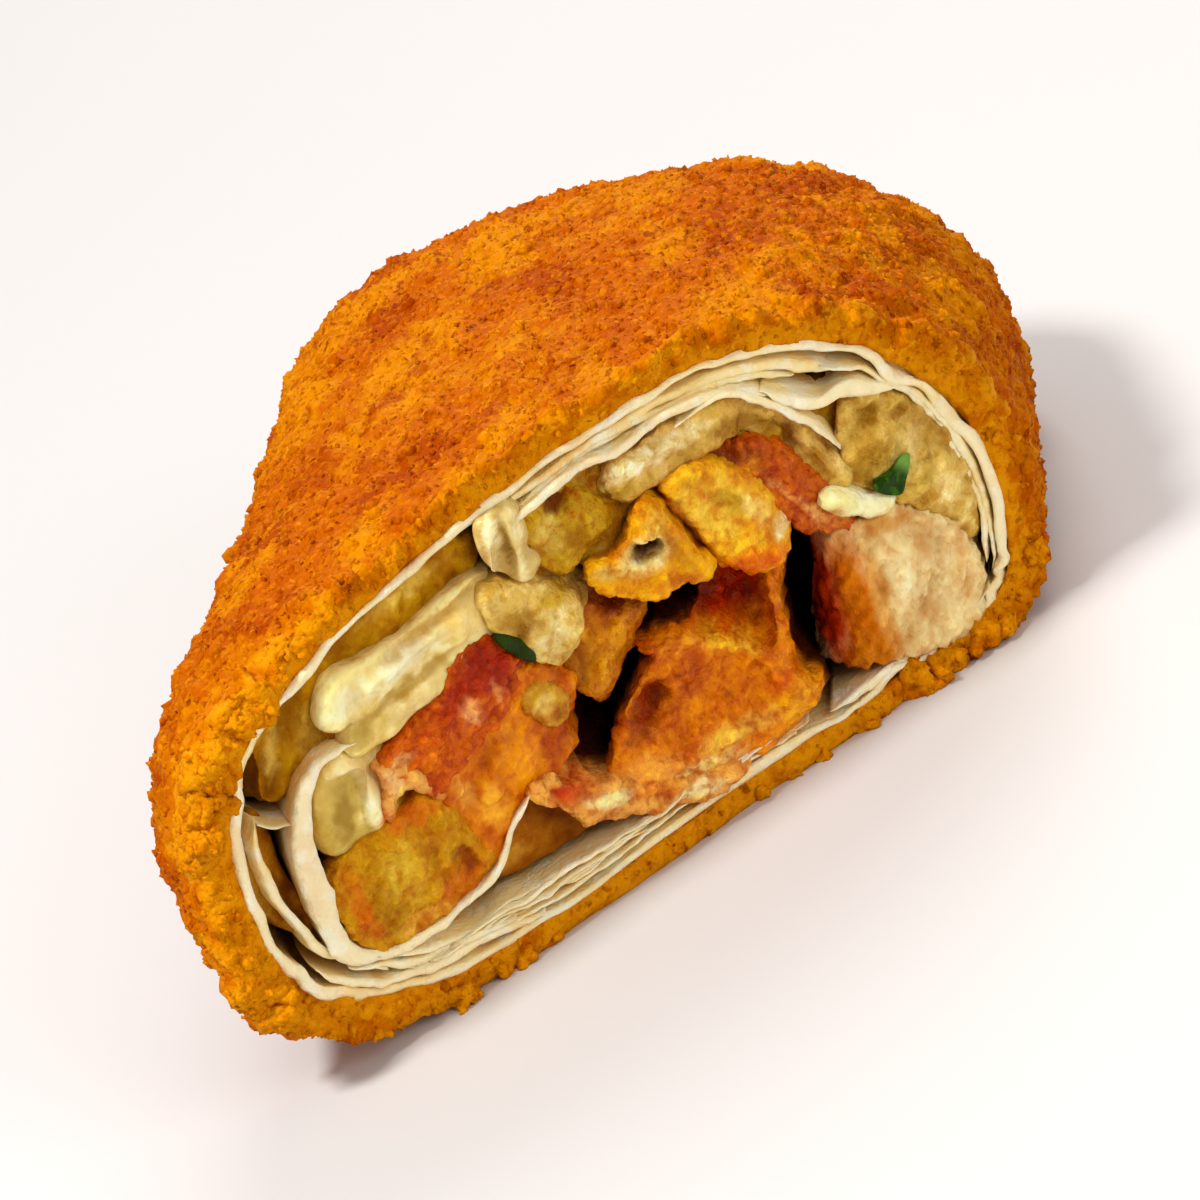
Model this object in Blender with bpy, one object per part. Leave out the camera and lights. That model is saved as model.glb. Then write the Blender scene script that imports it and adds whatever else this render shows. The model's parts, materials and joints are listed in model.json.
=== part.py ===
"""One half of a breaded chicken wrap, cut on the slant and lying on its flat side.

The roll runs along Y, with its cut face towards -Y and its closed, folded end towards +Y.
Every piece is drawn in the roll's own section: u goes across, v goes up from the base,
both in millimetres, and a station runs from 0 at the cut to 1 at the closed end.
place() turns those three into metres, so pieces that are clear of each other in the
section stay clear of each other along the whole roll.
"""

import math

import bmesh
import bpy
import numpy as np
from mathutils import Vector, noise

MM = 0.001

# The roll's section at the cut, to the outside of the flatbread
HALF_WIDTH = 33.7
CENTRE = 1.1
MIDDLE = 19.9
CROWN = 23.8  # height above the middle
BELLY = 16.8  # depth below it
CROWN_SQUARENESS = 2.15  # exponents of the rounded outline, 2 being an ellipse
BELLY_SQUARENESS = 3.8
CROWN_LEAN = 0.28  # share by which the crown is higher on the right
BELLY_LEAN = 0.38  # share by which the belly is deeper on the left
SKEW = -4.1  # drop of the widest part from left to right
SETTLE = math.radians(7.6)  # roll to the right that brings the underside level
FLOOR = 0.75  # height at which the crumb coat is pressed flat

# The roll along its length
LENGTH = 100.0  # from the middle of the cut to the closed end
CUT_ANGLE = math.radians(41.5)  # of the slanting cut, seen from above
END_ROUNDING = 32.0
END_SQUARENESS = 2.4
END_DROP = 0.25  # share of the height lost by the closed end
END_LEAN = 0.17  # and how much more than that on the right
END_SLOPE = 2.2  # exponent of that drop along the roll
END_DRIFT = -1.0  # sideways sweep of the closed end
BULGE_LEFT = 4.2  # how far the sides swell out behind the cut, and where they swell most
BULGE_RIGHT = 0.6
BULGE_PEAK = 14.0

# The layers
BREADING = 2.3
FLATBREAD = 1.1
GAP = 0.35
BREADING_END = 0.965  # stations where the hollow inside each layer ends
FLATBREAD_END = 0.945
FLATBREAD_HOLLOW_END = 0.92
FILLING_END = 0.895
TURN_SHEET = 0.75
UNDER_TURNS = 3
UNDER_FROM = 238  # angles in degrees, from the right-hand side round the crown
UNDER_TO = 279
UNDER_FROM_STEP = 7  # how much shorter each turn is than the one below it, at either end
UNDER_TO_STEP = 4

# Relief
CRAG = 0.55
CRAG_SIZE = 5.5
CUT_EDGE_RAGGED = 0.9
CRUMB_EDGE = 1.8
CRUMB_EDGE_SIZE = 4.0
CRUMB_EDGE_DEPTH = 5.0
FACE_ROUGHNESS = 0.6
FACE_GRAIN = 3.0

# The filling is grown until its pieces press on each other
GROWTH = 1.6
GROWTH_STEP = 0.2
CLEARANCE = 0.42

# How finely each piece is faceted
BREADING_SIDES = 60
FLATBREAD_SIDES = 40
PIECE_SIDES = 20
BREADING_STATIONS = 14
DOME_RINGS = 7
HOLLOW_DOME_RINGS = 5
INNER_STATIONS = (0.0, 0.12, 0.34, 1 - END_ROUNDING / LENGTH)


def ripple(x, y, z, size):
    """Smooth noise from -1 to 1 whose bumps are about size across."""
    return noise.noise(Vector((x, y, z)) / size)


def roll_outline(angle, out):
    """The section's outline at an angle, moved outwards by out."""
    c, s = math.cos(angle), math.sin(angle)
    above = s > 0
    power = 2 / (CROWN_SQUARENESS if above else BELLY_SQUARENESS)
    across = math.copysign(abs(c) ** power, c)
    up = math.copysign(abs(s) ** power, s)
    lean = math.sin(0.45 * math.pi * across)
    height = (CROWN * (1 + CROWN_LEAN * lean) if above else BELLY * (1 - BELLY_LEAN * lean)) + out
    return CENTRE + across * (HALF_WIDTH + out), MIDDLE + SKEW * across + up * height


def turn_path(first, last, out):
    """A path along the roll's outline between two angles in degrees, moved outwards by out."""
    return [roll_outline(math.radians(first + (last - first) * k / 6), out) for k in range(7)]


def end_scale(station):
    """Share of the section that is left at a station: 1 until the closed end rounds off."""
    start = 1 - END_ROUNDING / LENGTH
    share = min(1.0, max(0.0, (station - start) / (1 - start)))
    return (1 - share**END_SQUARENESS) ** (1 / END_SQUARENESS)


def place(u, v, station, forward=0.0):
    """The point in metres of section point (u, v) at a station, pushed out of the cut by forward."""
    lead_in = u * math.tan(CUT_ANGLE)
    behind = station * (LENGTH - lead_in)
    scale = end_scale(station)
    across = (u - CENTRE) / HALF_WIDTH
    drop = 1 - (END_DROP + END_LEAN * across) * station**END_SLOPE
    swell = across**2 * (BULGE_RIGHT if across > 0 else -BULGE_LEFT)
    swell *= behind / BULGE_PEAK * math.exp(1 - behind / BULGE_PEAK)
    right = (u + swell) * scale + END_DRIFT * station**2
    high = drop * (MIDDLE + (v - MIDDLE) * scale)
    x = right * math.cos(SETTLE) + high * math.sin(SETTLE)
    y = lead_in + behind - forward
    z = high * math.cos(SETTLE) - right * math.sin(SETTLE)
    return x * MM, y * MM, max(FLOOR, z) * MM


def dome_stations(last, rings):
    """Stations round the closed end, closer together towards its tip."""
    start = 1 - END_ROUNDING / LENGTH
    return [start + (last - start) * math.sin(math.pi / 2 * (i + 1) / (rings + 1)) for i in range(rings)]


def make_material(name, colour, roughness):
    material = bpy.data.materials.new(name)
    material.use_nodes = True
    shader = material.node_tree.nodes["Principled BSDF"]
    shader.inputs["Base Color"].default_value = (*colour, 1.0)
    shader.inputs["Roughness"].default_value = roughness
    shader.inputs["Metallic"].default_value = 0.0
    return material


def finish_object(name, bm, material):
    bmesh.ops.triangulate(bm, faces=bm.faces[:])
    bmesh.ops.recalc_face_normals(bm, faces=bm.faces[:])
    mesh = bpy.data.meshes.new(name)
    bm.to_mesh(mesh)
    bm.free()
    mesh.materials.append(material)
    mesh.shade_smooth()
    mesh.set_sharp_from_angle(angle=math.radians(40))
    bpy.context.scene.collection.objects.link(bpy.data.objects.new(name, mesh))


def loft(name, start, rings, end, material):
    """A closed body through rings of points, shut by a fan to the points start and end."""
    bm = bmesh.new()
    rows = [[bm.verts.new(p) for p in ring] for ring in rings]
    for row, tip, turn in ((rows[0], start, 1), (rows[-1], end, -1)):
        centre = bm.verts.new(tip)
        for a, b in zip(row, row[1:] + row[:1]):
            bm.faces.new((centre, b, a)[::turn])
    for row, following in zip(rows, rows[1:]):
        for i in range(len(row)):
            j = (i + 1) % len(row)
            bm.faces.new((row[i], row[j], following[j], following[i]))
    finish_object(name, bm, material)


# The crumb coat and the flatbread under it: two cups, one inside the other, open at the cut.


def ragged_edge(angle, seed):
    """How far a layer's edge stands out of the cut or hangs back, round the roll."""
    return CUT_EDGE_RAGGED * ripple(3 * math.cos(angle), 3 * math.sin(angle), seed, 0.8)


def crag(u, v, station):
    """Section point (u, v) pushed outwards by the crumb coat's crags."""
    behind = station * LENGTH
    height = CRAG * ripple(u, v, behind, CRAG_SIZE)
    near_cut = math.exp(-((behind / CRUMB_EDGE_DEPTH) ** 2))
    height += CRUMB_EDGE * near_cut * max(0.0, ripple(u + 40, v, behind, CRUMB_EDGE_SIZE))
    reach = math.hypot(u - CENTRE, v - MIDDLE)
    return CENTRE + (u - CENTRE) * (1 + height / reach), MIDDLE + (v - MIDDLE) * (1 + height / reach)


def cup(name, outside, hollow, end, hollow_end, sides, straight, relief, seed, material):
    """A layer of the roll, its section from hollow to outside: along the hollow, over the rim and back."""
    angles = [2 * math.pi * i / sides for i in range(sides)]
    edges = [ragged_edge(a, seed) for a in angles]

    def ring(station, out, crags):
        points = []
        for a, edge in zip(angles, edges):
            u, v = roll_outline(a, out)
            if crags:
                u, v = crag(u, v, station)
            points.append(place(u, v, station, edge if station == 0 else 0.0))
        return points

    inner = [*INNER_STATIONS, *dome_stations(hollow_end, HOLLOW_DOME_RINGS)]
    outer = [*straight, *dome_stations(end, DOME_RINGS)]
    loft(
        name,
        place(CENTRE, MIDDLE, hollow_end),
        [ring(s, hollow, False) for s in reversed(inner)] + [ring(s, outside, relief) for s in outer],
        place(CENTRE, MIDDLE, end),
        material,
    )


# The turns and folds of flatbread inside: thin sheets that run through the roll.


def smooth_path(points, count):
    """count points, evenly spaced, on a smooth curve through a few path points."""
    given = np.array(points, float)
    padded = np.vstack([2 * given[0] - given[1], given, 2 * given[-1] - given[-2]])
    fine = []
    for p0, p1, p2, p3 in zip(padded, padded[1:], padded[2:], padded[3:]):
        for t in np.linspace(0, 1, 12, endpoint=False):
            bend = (2 * p0 - 5 * p1 + 4 * p2 - p3) * t**2 + (3 * p1 - p0 - 3 * p2 + p3) * t**3
            fine.append(0.5 * (2 * p1 + (p2 - p0) * t + bend))
    fine = np.array(fine + [given[-1]])
    along = np.concatenate([[0], np.cumsum(np.linalg.norm(np.diff(fine, axis=0), axis=1))])
    wanted = np.linspace(0, along[-1], count)
    return np.stack([np.interp(wanted, along, fine[:, i]) for i in (0, 1)], axis=1)


def sheet_sides(path, thickness, count):
    """The two sides of a thin sheet whose middle follows path."""
    line = smooth_path(path, count)
    tangent = np.gradient(line, axis=0)
    normal = np.stack([-tangent[:, 1], tangent[:, 0]], axis=1)
    normal *= thickness / 2 / np.linalg.norm(normal, axis=1)[:, None]
    return line + normal, line - normal


def sheet(name, material, path, thickness=TURN_SHEET, count=12, forward=0.0, ragged=0.8, depth=None, seed=0):
    """A thin sheet whose section follows path, from the cut to the end of the filling or to depth."""
    sides = sheet_sides(path, thickness, count)
    along = (0.0, depth / 2, depth) if depth else (*INNER_STATIONS, FILLING_END)
    bm = bmesh.new()
    grid = []
    for station in along:
        rows = []
        for side in sides:
            row = []
            for i, (u, v) in enumerate(side):
                push = forward + ragged * ripple(i * 0.7, seed, 0.3, 1.7) if station == 0 else 0.0
                row.append(bm.verts.new(place(u, v, station, push)))
            rows.append(row)
        grid.append(rows)
    for here, there in zip(grid, grid[1:]):
        for i in range(count - 1):
            bm.faces.new((here[0][i], here[0][i + 1], there[0][i + 1], there[0][i]))
            bm.faces.new((here[1][i + 1], here[1][i], there[1][i], there[1][i + 1]))
        for i, turn in ((0, 1), (count - 1, -1)):
            bm.faces.new((here[1][i], here[0][i], there[0][i], there[1][i])[::turn])
    for rows, turn in ((grid[0], 1), (grid[-1], -1)):
        for i in range(count - 1):
            bm.faces.new((rows[1][i], rows[1][i + 1], rows[0][i + 1], rows[0][i])[::turn])
    finish_object(name, bm, material)


# The filling: strands that run through the roll, each ending at the cut in its own torn face.


def lump_outline(centre, size, turn, lumps, seed):
    """A rounded, lumpy closed outline; size holds its two half-widths and lumps their share."""
    draw = np.random.default_rng(seed)
    waves = [(k, lumps * draw.uniform(0.4, 1.0) / k, draw.uniform(0, 2 * math.pi)) for k in (2, 3, 5)]
    cos_turn, sin_turn = math.cos(math.radians(turn)), math.sin(math.radians(turn))
    outline = []
    for i in range(PIECE_SIDES):
        angle = 2 * math.pi * i / PIECE_SIDES
        reach = 1 - sum(share * (0.5 + 0.5 * math.cos(k * angle + phase)) for k, share, phase in waves)
        a = size[0] * reach * math.cos(angle)
        b = size[1] * reach * math.sin(angle)
        outline.append((centre[0] + a * cos_turn - b * sin_turn, centre[1] + a * sin_turn + b * cos_turn))
    return np.array(outline)


def distance(points, starts, ends):
    """The least distance from any of the points to any of the straight edges."""
    edge = ends - starts
    offset = points[:, None] - starts[None]
    share = np.clip((offset * edge).sum(2) / np.maximum((edge * edge).sum(1), 1e-9), 0, 1)
    return np.linalg.norm(offset - share[..., None] * edge, axis=2).min()


def grow(outlines, centres, walls):
    """Swells the outlines, a little at a time, until they nearly touch each other or a wall."""
    for _ in range(round(GROWTH / GROWTH_STEP)):
        for name, outline in outlines.items():
            others = [o for n, o in outlines.items() if n != name] + walls
            starts = np.vstack(others)
            ends = np.vstack([np.roll(o, -1, axis=0) for o in others])
            for i in range(len(outline)):
                away = outline[i] - centres[name]
                moved = outline[i] + away * GROWTH_STEP / np.linalg.norm(away)
                beside = np.array([outline[i - 1], outline[(i + 1) % len(outline)]])
                clear = distance(moved[None], starts, ends) > CLEARANCE
                if clear and distance(starts, np.array([moved, moved]), beside) > CLEARANCE:
                    outline[i] = moved


def strand(name, material, outline, centre, forward, bulge, tilt, seed):
    """A piece of filling from its cut face, forward of the cut by that much, back into the roll.

    bulge rounds the face out, and tilt slopes it: its right side stands out further than its left.
    """

    def face(share, push):
        points = []
        for u, v in centre + share * (outline - centre):
            rough = FACE_ROUGHNESS * ripple(u, v, seed, FACE_GRAIN) + tilt * (u - centre[0])
            points.append(place(u, v, 0.0, forward + push + rough))
        return points

    rings = [face(0.45, bulge), face(0.8, 0.7 * bulge), face(0.96, 0.2 * bulge), face(1.0, -1.5 * bulge)]
    for station in (*INNER_STATIONS[1:], FILLING_END):
        waist = 1 - 0.12 * abs(ripple(station * 9, seed, 0.5, 1.3))
        rings.append([place(u, v, station) for u, v in centre + waist * (outline - centre)])
    loft(name, place(*centre, 0.0, forward + bulge), rings, place(*centre, FILLING_END + 0.01), material)


def build_wrappers(crumb, bread):
    straight_end = 1 - END_ROUNDING / LENGTH
    fine = [straight_end * i / BREADING_STATIONS for i in range(BREADING_STATIONS + 1)]
    outside = BREADING + GAP
    cup("breading", outside, GAP, 1.0, BREADING_END, BREADING_SIDES, fine, True, 2.0, crumb)
    cup(
        "flatbread_outer",
        0.0,
        -FLATBREAD,
        FLATBREAD_END,
        FLATBREAD_HOLLOW_END,
        FLATBREAD_SIDES,
        INNER_STATIONS,
        False,
        7.0,
        bread,
    )


def build_turns(bread):
    """The inner turns and folds of flatbread; gives back their sides, which the filling keeps off."""
    first = -FLATBREAD - GAP - TURN_SHEET / 2
    sheets = {}
    for i in range(UNDER_TURNS):
        ends = UNDER_FROM + UNDER_FROM_STEP * i, UNDER_TO - UNDER_TO_STEP * i
        path = turn_path(*ends, first - i * (TURN_SHEET + GAP))
        sheets[f"flatbread_under_{i + 1}"] = {"path": path, "forward": 0.5 * i}
    sheets["flatbread_side"] = {"path": turn_path(-8, 52, first)}
    sheets["flatbread_lining"] = {"path": turn_path(122, 160, first - 1.6), "forward": -2.5, "ragged": 1.5}
    sheets["flatbread_fold"] = {"path": turn_path(168, 221, first - 0.9)}
    crown = [(-8, 38.2), (-2, 40.1), (4, 40.0), (9, 40.8), (13, 40.2), (17, 38.8)]
    sheets["flatbread_crown"] = {"path": crown, "thickness": 0.9}
    pocket = [(-18.5, 26.6), (-23.4, 26.2), (-26.0, 23.0), (-26.5, 16), (-25.2, 8.6), (-21.4, 6.2)]
    pocket += [(-16, 7.6), (-11.8, 10.8), (-8.9, 14.2)]
    sheets["flatbread_pocket"] = {"path": pocket, "thickness": 1.0, "count": 22, "forward": 0.6}
    walls = []
    for seed, (name, shape) in enumerate(sheets.items()):
        sheet(name, bread, seed=seed, **shape)
        sides = sheet_sides(shape["path"], shape.get("thickness", TURN_SHEET), shape.get("count", 12))
        walls.append(np.vstack([sides[0], sides[1][::-1]]))
    inside = [roll_outline(2 * math.pi * i / FLATBREAD_SIDES, -FLATBREAD) for i in range(FLATBREAD_SIDES)]
    return walls + [np.array(inside)]


def build_herbs(herb):
    """Two leaf scraps caught between the pieces, just inside the cut; gives back their sides."""
    leaf = {"thickness": 0.4, "count": 5}
    paths = {
        "herb_right": [(21.3, 24.6), (22.4, 24.5), (23.4, 24.9)],
        "herb_left": [(-9.8, 28.6), (-9.3, 27.5), (-9.0, 26.4)],
    }
    walls = []
    for seed, (name, path) in enumerate(paths.items()):
        sheet(name, herb, path, forward=2.5, ragged=1.2, depth=0.03, seed=seed, **leaf)
        sides = sheet_sides(path, **leaf)
        walls.append(np.vstack([sides[0], sides[1][::-1]]))
    return walls


def build_filling(chicken, coated, potato, tomato, cheese, sauce, walls):
    """Each row is a strand: material, centre, half-widths, turn, lumpiness, forward, bulge, tilt."""
    rows = {
        "chicken_right": (chicken, (26.0, 16.4), (6.5, 7.8), -12, 0.2, 1.5, 1.8, 0.12),
        "chicken_middle": (coated, (8.0, 15.9), (8.4, 8.4), 25, 0.2, -1.5, 1.0, 0.1),
        "chicken_strip": (coated, (-2.6, 22.4), (2.8, 5.4), -24, 0.25, -2.0, 1.5, 0.0),
        "chicken_scrap": (coated, (-4.4, 11.0), (4.2, 1.6), -24, 0.2, 0.5, 1.2, 0.0),
        "potato_top": (potato, (9.4, 30.6), (4.6, 3.9), -45, 0.2, 1.0, 1.2, 0.0),
        "potato_middle": (potato, (1.2, 29.8), (3.8, 2.6), -32, 0.2, 1.5, 1.2, 0.0),
        "potato_left": (potato, (-19.6, 12.8), (4.8, 4.8), 10, 0.25, -1.0, 1.5, 0.0),
        "pickle_left": (potato, (-4.4, 34.2), (3.0, 2.3), 30, 0.15, 0.0, 1.2, 0.0),
        "tomato_top": (tomato, (16.7, 28.6), (6.2, 1.8), -56, 0.15, 0.5, 1.2, 0.0),
        "tomato_left": (tomato, (-15.4, 22.2), (5.6, 3.0), 38, 0.2, 0.0, 1.5, 0.0),
        "sauce_left": (sauce, (-10.0, 18.4), (1.9, 4.2), -12, 0.2, -0.5, 1.2, 0.0),
        "cheese_crown": (cheese, (6.6, 37.4), (9.0, 1.3), -2, 0.15, 0.5, 1.0, 0.0),
        "cheese_right": (cheese, (23.6, 30.0), (7.0, 3.6), -56, 0.2, 0.8, 1.5, 0.0),
        "cheese_left": (cheese, (-15.8, 31.2), (8.0, 2.5), 12, 0.2, 1.2, 1.5, 0.0),
        "cheese_middle": (cheese, (-5.9, 28.4), (2.2, 2.3), 0, 0.2, 0.8, 1.2, 0.0),
        "cheese_pocket": (cheese, (-23.0, 21.2), (1.7, 3.4), 10, 0.15, -0.5, 1.2, 0.0),
    }
    outlines = {
        name: lump_outline(centre, size, turn, lumps, seed)
        for seed, (name, (_, centre, size, turn, lumps, *_)) in enumerate(rows.items())
    }
    grow(outlines, {name: np.array(row[1]) for name, row in rows.items()}, walls)
    for seed, (name, (material, centre, *_, forward, bulge, tilt)) in enumerate(rows.items()):
        strand(name, material, outlines[name], np.array(centre), forward, bulge, tilt, seed)


def stand_on_origin():
    """Hangs every piece on one empty and moves it so that the middle of the base is at the origin."""
    half = bpy.data.objects.new("wrap_half", None)
    bpy.context.scene.collection.objects.link(half)
    pieces = [o for o in bpy.data.objects if o.type == "MESH"]
    corners = np.array([v.co for o in pieces for v in o.data.vertices])
    low, high = corners.min(axis=0), corners.max(axis=0)
    for piece in pieces:
        piece.parent = half
    half.location = (-(low[0] + high[0]) / 2, -(low[1] + high[1]) / 2, -low[2])


def main():
    for old in list(bpy.data.objects):
        bpy.data.objects.remove(old, do_unlink=True)
    crumb = make_material("crumb", (0.68, 0.26, 0.03), 0.8)
    bread = make_material("flatbread", (0.80, 0.66, 0.44), 0.75)
    chicken = make_material("chicken", (0.72, 0.55, 0.38), 0.55)
    coated = make_material("spiced_chicken", (0.72, 0.25, 0.03), 0.4)
    potato = make_material("potato", (0.75, 0.42, 0.06), 0.5)
    tomato = make_material("tomato", (0.62, 0.12, 0.05), 0.35)
    cheese = make_material("cheese", (0.78, 0.72, 0.48), 0.35)
    sauce = make_material("sauce", (0.80, 0.30, 0.06), 0.3)
    herb = make_material("herb", (0.06, 0.20, 0.03), 0.5)
    build_wrappers(crumb, bread)
    walls = build_turns(bread) + build_herbs(herb)
    build_filling(chicken, coated, potato, tomato, cheese, sauce, walls)
    stand_on_origin()


main()
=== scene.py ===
"""The looks of one half of a breaded chicken wrap, cut on the slant and lying on its flat side.

Pieces are drawn in the roll's own section: u goes across it and v up from its base, a station
runs from 0 at the cut to 1 at the closed end, and forward is out of the cut. Lengths are in
millimetres until place() turns a point into metres in the frame.
"""

import json
import math

import bmesh
import bpy
import numpy as np
from mathutils import Matrix, Vector, noise
from mathutils.geometry import delaunay_2d_cdt

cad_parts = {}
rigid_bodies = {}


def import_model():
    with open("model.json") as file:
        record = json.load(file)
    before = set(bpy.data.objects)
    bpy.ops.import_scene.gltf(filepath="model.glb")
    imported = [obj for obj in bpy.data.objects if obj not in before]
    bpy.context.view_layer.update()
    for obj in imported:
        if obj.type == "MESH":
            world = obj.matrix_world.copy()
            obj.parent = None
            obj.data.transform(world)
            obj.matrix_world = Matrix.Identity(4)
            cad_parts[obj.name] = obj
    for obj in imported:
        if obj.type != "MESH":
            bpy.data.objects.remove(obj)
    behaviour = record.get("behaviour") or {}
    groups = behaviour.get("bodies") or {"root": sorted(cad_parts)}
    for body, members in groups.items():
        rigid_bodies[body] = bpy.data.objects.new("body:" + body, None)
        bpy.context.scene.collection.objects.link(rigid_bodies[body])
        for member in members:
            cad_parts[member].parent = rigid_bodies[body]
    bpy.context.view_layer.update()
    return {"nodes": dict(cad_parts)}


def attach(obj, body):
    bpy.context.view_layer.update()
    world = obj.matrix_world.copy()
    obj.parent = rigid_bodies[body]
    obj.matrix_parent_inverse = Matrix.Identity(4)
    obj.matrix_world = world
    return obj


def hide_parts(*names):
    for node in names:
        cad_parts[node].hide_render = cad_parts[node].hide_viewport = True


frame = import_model()

# ---- Crumb coat --------------------------------------------------------------------------------
# A crust of fried breadcrumbs about 2 mm thick, pressed on wet all round the roll and open at the
# cut. It follows the roll with crags and pits, and is torn into ragged lumps along the cut.

MM = 0.001
HALF_WIDTH, CENTRE, MIDDLE = 33.7, 1.1, 19.9
CROWN, CROWN_SQUARENESS, CROWN_LEAN = 23.8, 2.15, 0.28
BELLY, BELLY_SQUARENESS, BELLY_LEAN = 16.8, 3.8, 0.38
LEAN_TURN = 0.45 * np.pi
SKEW = -4.1
SETTLE = math.radians(7.6)  # roll to the right that brings the underside level
FLOOR = 0.75
LENGTH = 100.0
CUT_ANGLE = math.radians(41.5)
END_ROUNDING, END_SQUARENESS = 32.0, 2.4
END_DROP, END_LEAN, END_SLOPE, END_DRIFT = 0.25, 0.17, 2.2, -1.0
BULGE_LEFT, BULGE_RIGHT, BULGE_PEAK = 4.2, 0.6, 14.0
STRAIGHT_END = 1 - END_ROUNDING / LENGTH
BASE_MIDDLE = np.array([1.33, 34.43, 0.75])  # of the roll's own axes, which the frame puts at its origin

COAT, COAT_GAP, COAT_END = 2.3, 0.35, 0.965
COAT_COLUMNS, RIM_ROWS, STRAIGHT_ROWS, DOME_ROWS = 360, 6, 118, 76
CAP = 0.99999  # the last row's station, just short of the closed end's tip
LAP, LAP_REACH = 0.5, 6.0  # how far the coat's inside closes on the flatbread, and how deep
CRAG, CRAG_SIZE = 0.55, 5.5
LUMPY_EDGE, LUMPY_EDGE_SIZE, LUMPY_EDGE_DEPTH = 1.8, 4.0, 5.0
RAGGED, EDGE_TEETH = 0.9, 0.7  # the edge's broad waves and fine teeth, out of the cut
WAVE_SIZE, TOOTH_SIZE, EDGE_DEPTH = 0.8, 0.16, 1.5
COAT_GRAIN = ((5.5, 0.6), (2.4, 0.45), (1.15, 0.34))  # size of the bumps and how far they stand out
PIT_SIZE, PIT_DEPTH, PIT_SHARE = 3.4, 1.5, 0.42
CLUMP_SIZE, CLUMP_HEIGHT, CLUMP_DEPTH = 2.6, 1.5, 5.0  # of the torn clumps along the cut
SHELTER = 1.5  # height over the table below which the coat is pressed flat


def ripple(x, y, z, size):
    """Smooth noise from -1 to 1 whose bumps are about size across, for arrays of points."""
    x, y, z = np.broadcast_arrays(x, y, z)
    points = np.stack([x, y, z], -1).reshape(-1, 3) / size
    return np.array([noise.noise(p) for p in points.tolist()]).reshape(x.shape)


def roll_outline(angle, out):
    """The roll's section at an angle, moved outwards by out; 0 is the outside of the flatbread."""
    c, s = np.cos(angle), np.sin(angle)
    power = 2 / np.where(s > 0, CROWN_SQUARENESS, BELLY_SQUARENESS)
    across = np.sign(c) * np.abs(c) ** power
    up = np.sign(s) * np.abs(s) ** power
    lean = np.sin(LEAN_TURN * across)
    height = np.where(s > 0, CROWN * (1 + CROWN_LEAN * lean), BELLY * (1 - BELLY_LEAN * lean)) + out
    return CENTRE + across * (HALF_WIDTH + out), MIDDLE + SKEW * across + up * height


def place(u, v, station, forward=0.0):
    """Section points at stations, pushed out of the cut by forward, as metres in the frame."""
    u, v, station, forward = np.broadcast_arrays(u, v, station, forward)
    lead_in = u * math.tan(CUT_ANGLE)
    behind = station * (LENGTH - lead_in)
    share = np.clip((station - STRAIGHT_END) / (1 - STRAIGHT_END), 0, 1)
    scale = (1 - share**END_SQUARENESS) ** (1 / END_SQUARENESS)
    across = (u - CENTRE) / HALF_WIDTH
    drop = 1 - (END_DROP + END_LEAN * across) * np.maximum(station, 0) ** END_SLOPE
    swell = across**2 * np.where(across > 0, BULGE_RIGHT, -BULGE_LEFT)
    swell = swell * behind / BULGE_PEAK * np.exp(1 - behind / BULGE_PEAK)
    right = (u + swell) * scale + END_DRIFT * station**2
    high = drop * (MIDDLE + (v - MIDDLE) * scale)
    x = right * math.cos(SETTLE) + high * math.sin(SETTLE)
    z = high * math.cos(SETTLE) - right * math.sin(SETTLE)
    return (np.stack([x, lead_in + behind - forward, np.maximum(z, FLOOR)], -1) - BASE_MIDDLE) * MM


def section_of(points):
    """(u, v, forward) in millimetres of points in the frame that are near the cut."""
    x, y, z = (np.asarray(points) / MM + BASE_MIDDLE).T
    u = x * math.cos(SETTLE) - z * math.sin(SETTLE)
    v = z * math.cos(SETTLE) + x * math.sin(SETTLE)
    return u, v, u * math.tan(CUT_ANGLE) - y


def even_angles(count, out):
    """Angles whose points lie evenly along the roll's outline."""
    fine = np.linspace(0, 2 * np.pi, 6001)
    u, v = roll_outline(fine, out)
    along = np.concatenate([[0], np.cumsum(np.hypot(np.diff(u), np.diff(v)))])
    return np.interp(np.linspace(0, along[-1], count, endpoint=False), along, fine)


def dome_stations(last, count):
    """Stations round the closed end, evenly spaced along its rounding."""
    share = (last - STRAIGHT_END) / (1 - STRAIGHT_END)
    turn = np.linspace(0, math.asin(share ** (END_SQUARENESS / 2)), count + 1)[1:]
    return STRAIGHT_END + (1 - STRAIGHT_END) * np.sin(turn) ** (2 / END_SQUARENESS)


def new_mesh(name, points, faces):
    mesh = bpy.data.meshes.new(name)
    mesh.from_pydata(np.asarray(points).reshape(-1, 3).tolist(), [], faces)
    mesh.validate()
    mesh.shade_smooth()
    return mesh


def add_object(name, data):
    made = bpy.data.objects.new(name, data)
    bpy.context.scene.collection.objects.link(made)
    return made


def keep(piece, replaced=()):
    """Ties a finished piece to the frame."""
    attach(piece, "root")
    if replaced:
        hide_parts(*replaced)
    return piece


def make_piece(name, points, faces, material, slot, replaced=()):
    """A mesh piece in metres that rides on the roll and stands for CAD nodes."""
    mesh = new_mesh(name, points, faces)
    mesh.materials.append(material)
    return keep(add_object(name, mesh), replaced)


def grid_faces(rows, columns, round_columns, round_rows):
    """Quads between the points of a grid that may close on itself either way."""
    here = np.arange(rows if round_rows else rows - 1)[:, None]
    across = np.arange(columns if round_columns else columns - 1)[None]
    there, beside = (here + 1) % rows, (across + 1) % columns
    corners = [here * columns + across, here * columns + beside, there * columns + beside]
    corners.append(there * columns + across)
    return np.stack(corners, -1).reshape(-1, 4).tolist()


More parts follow.
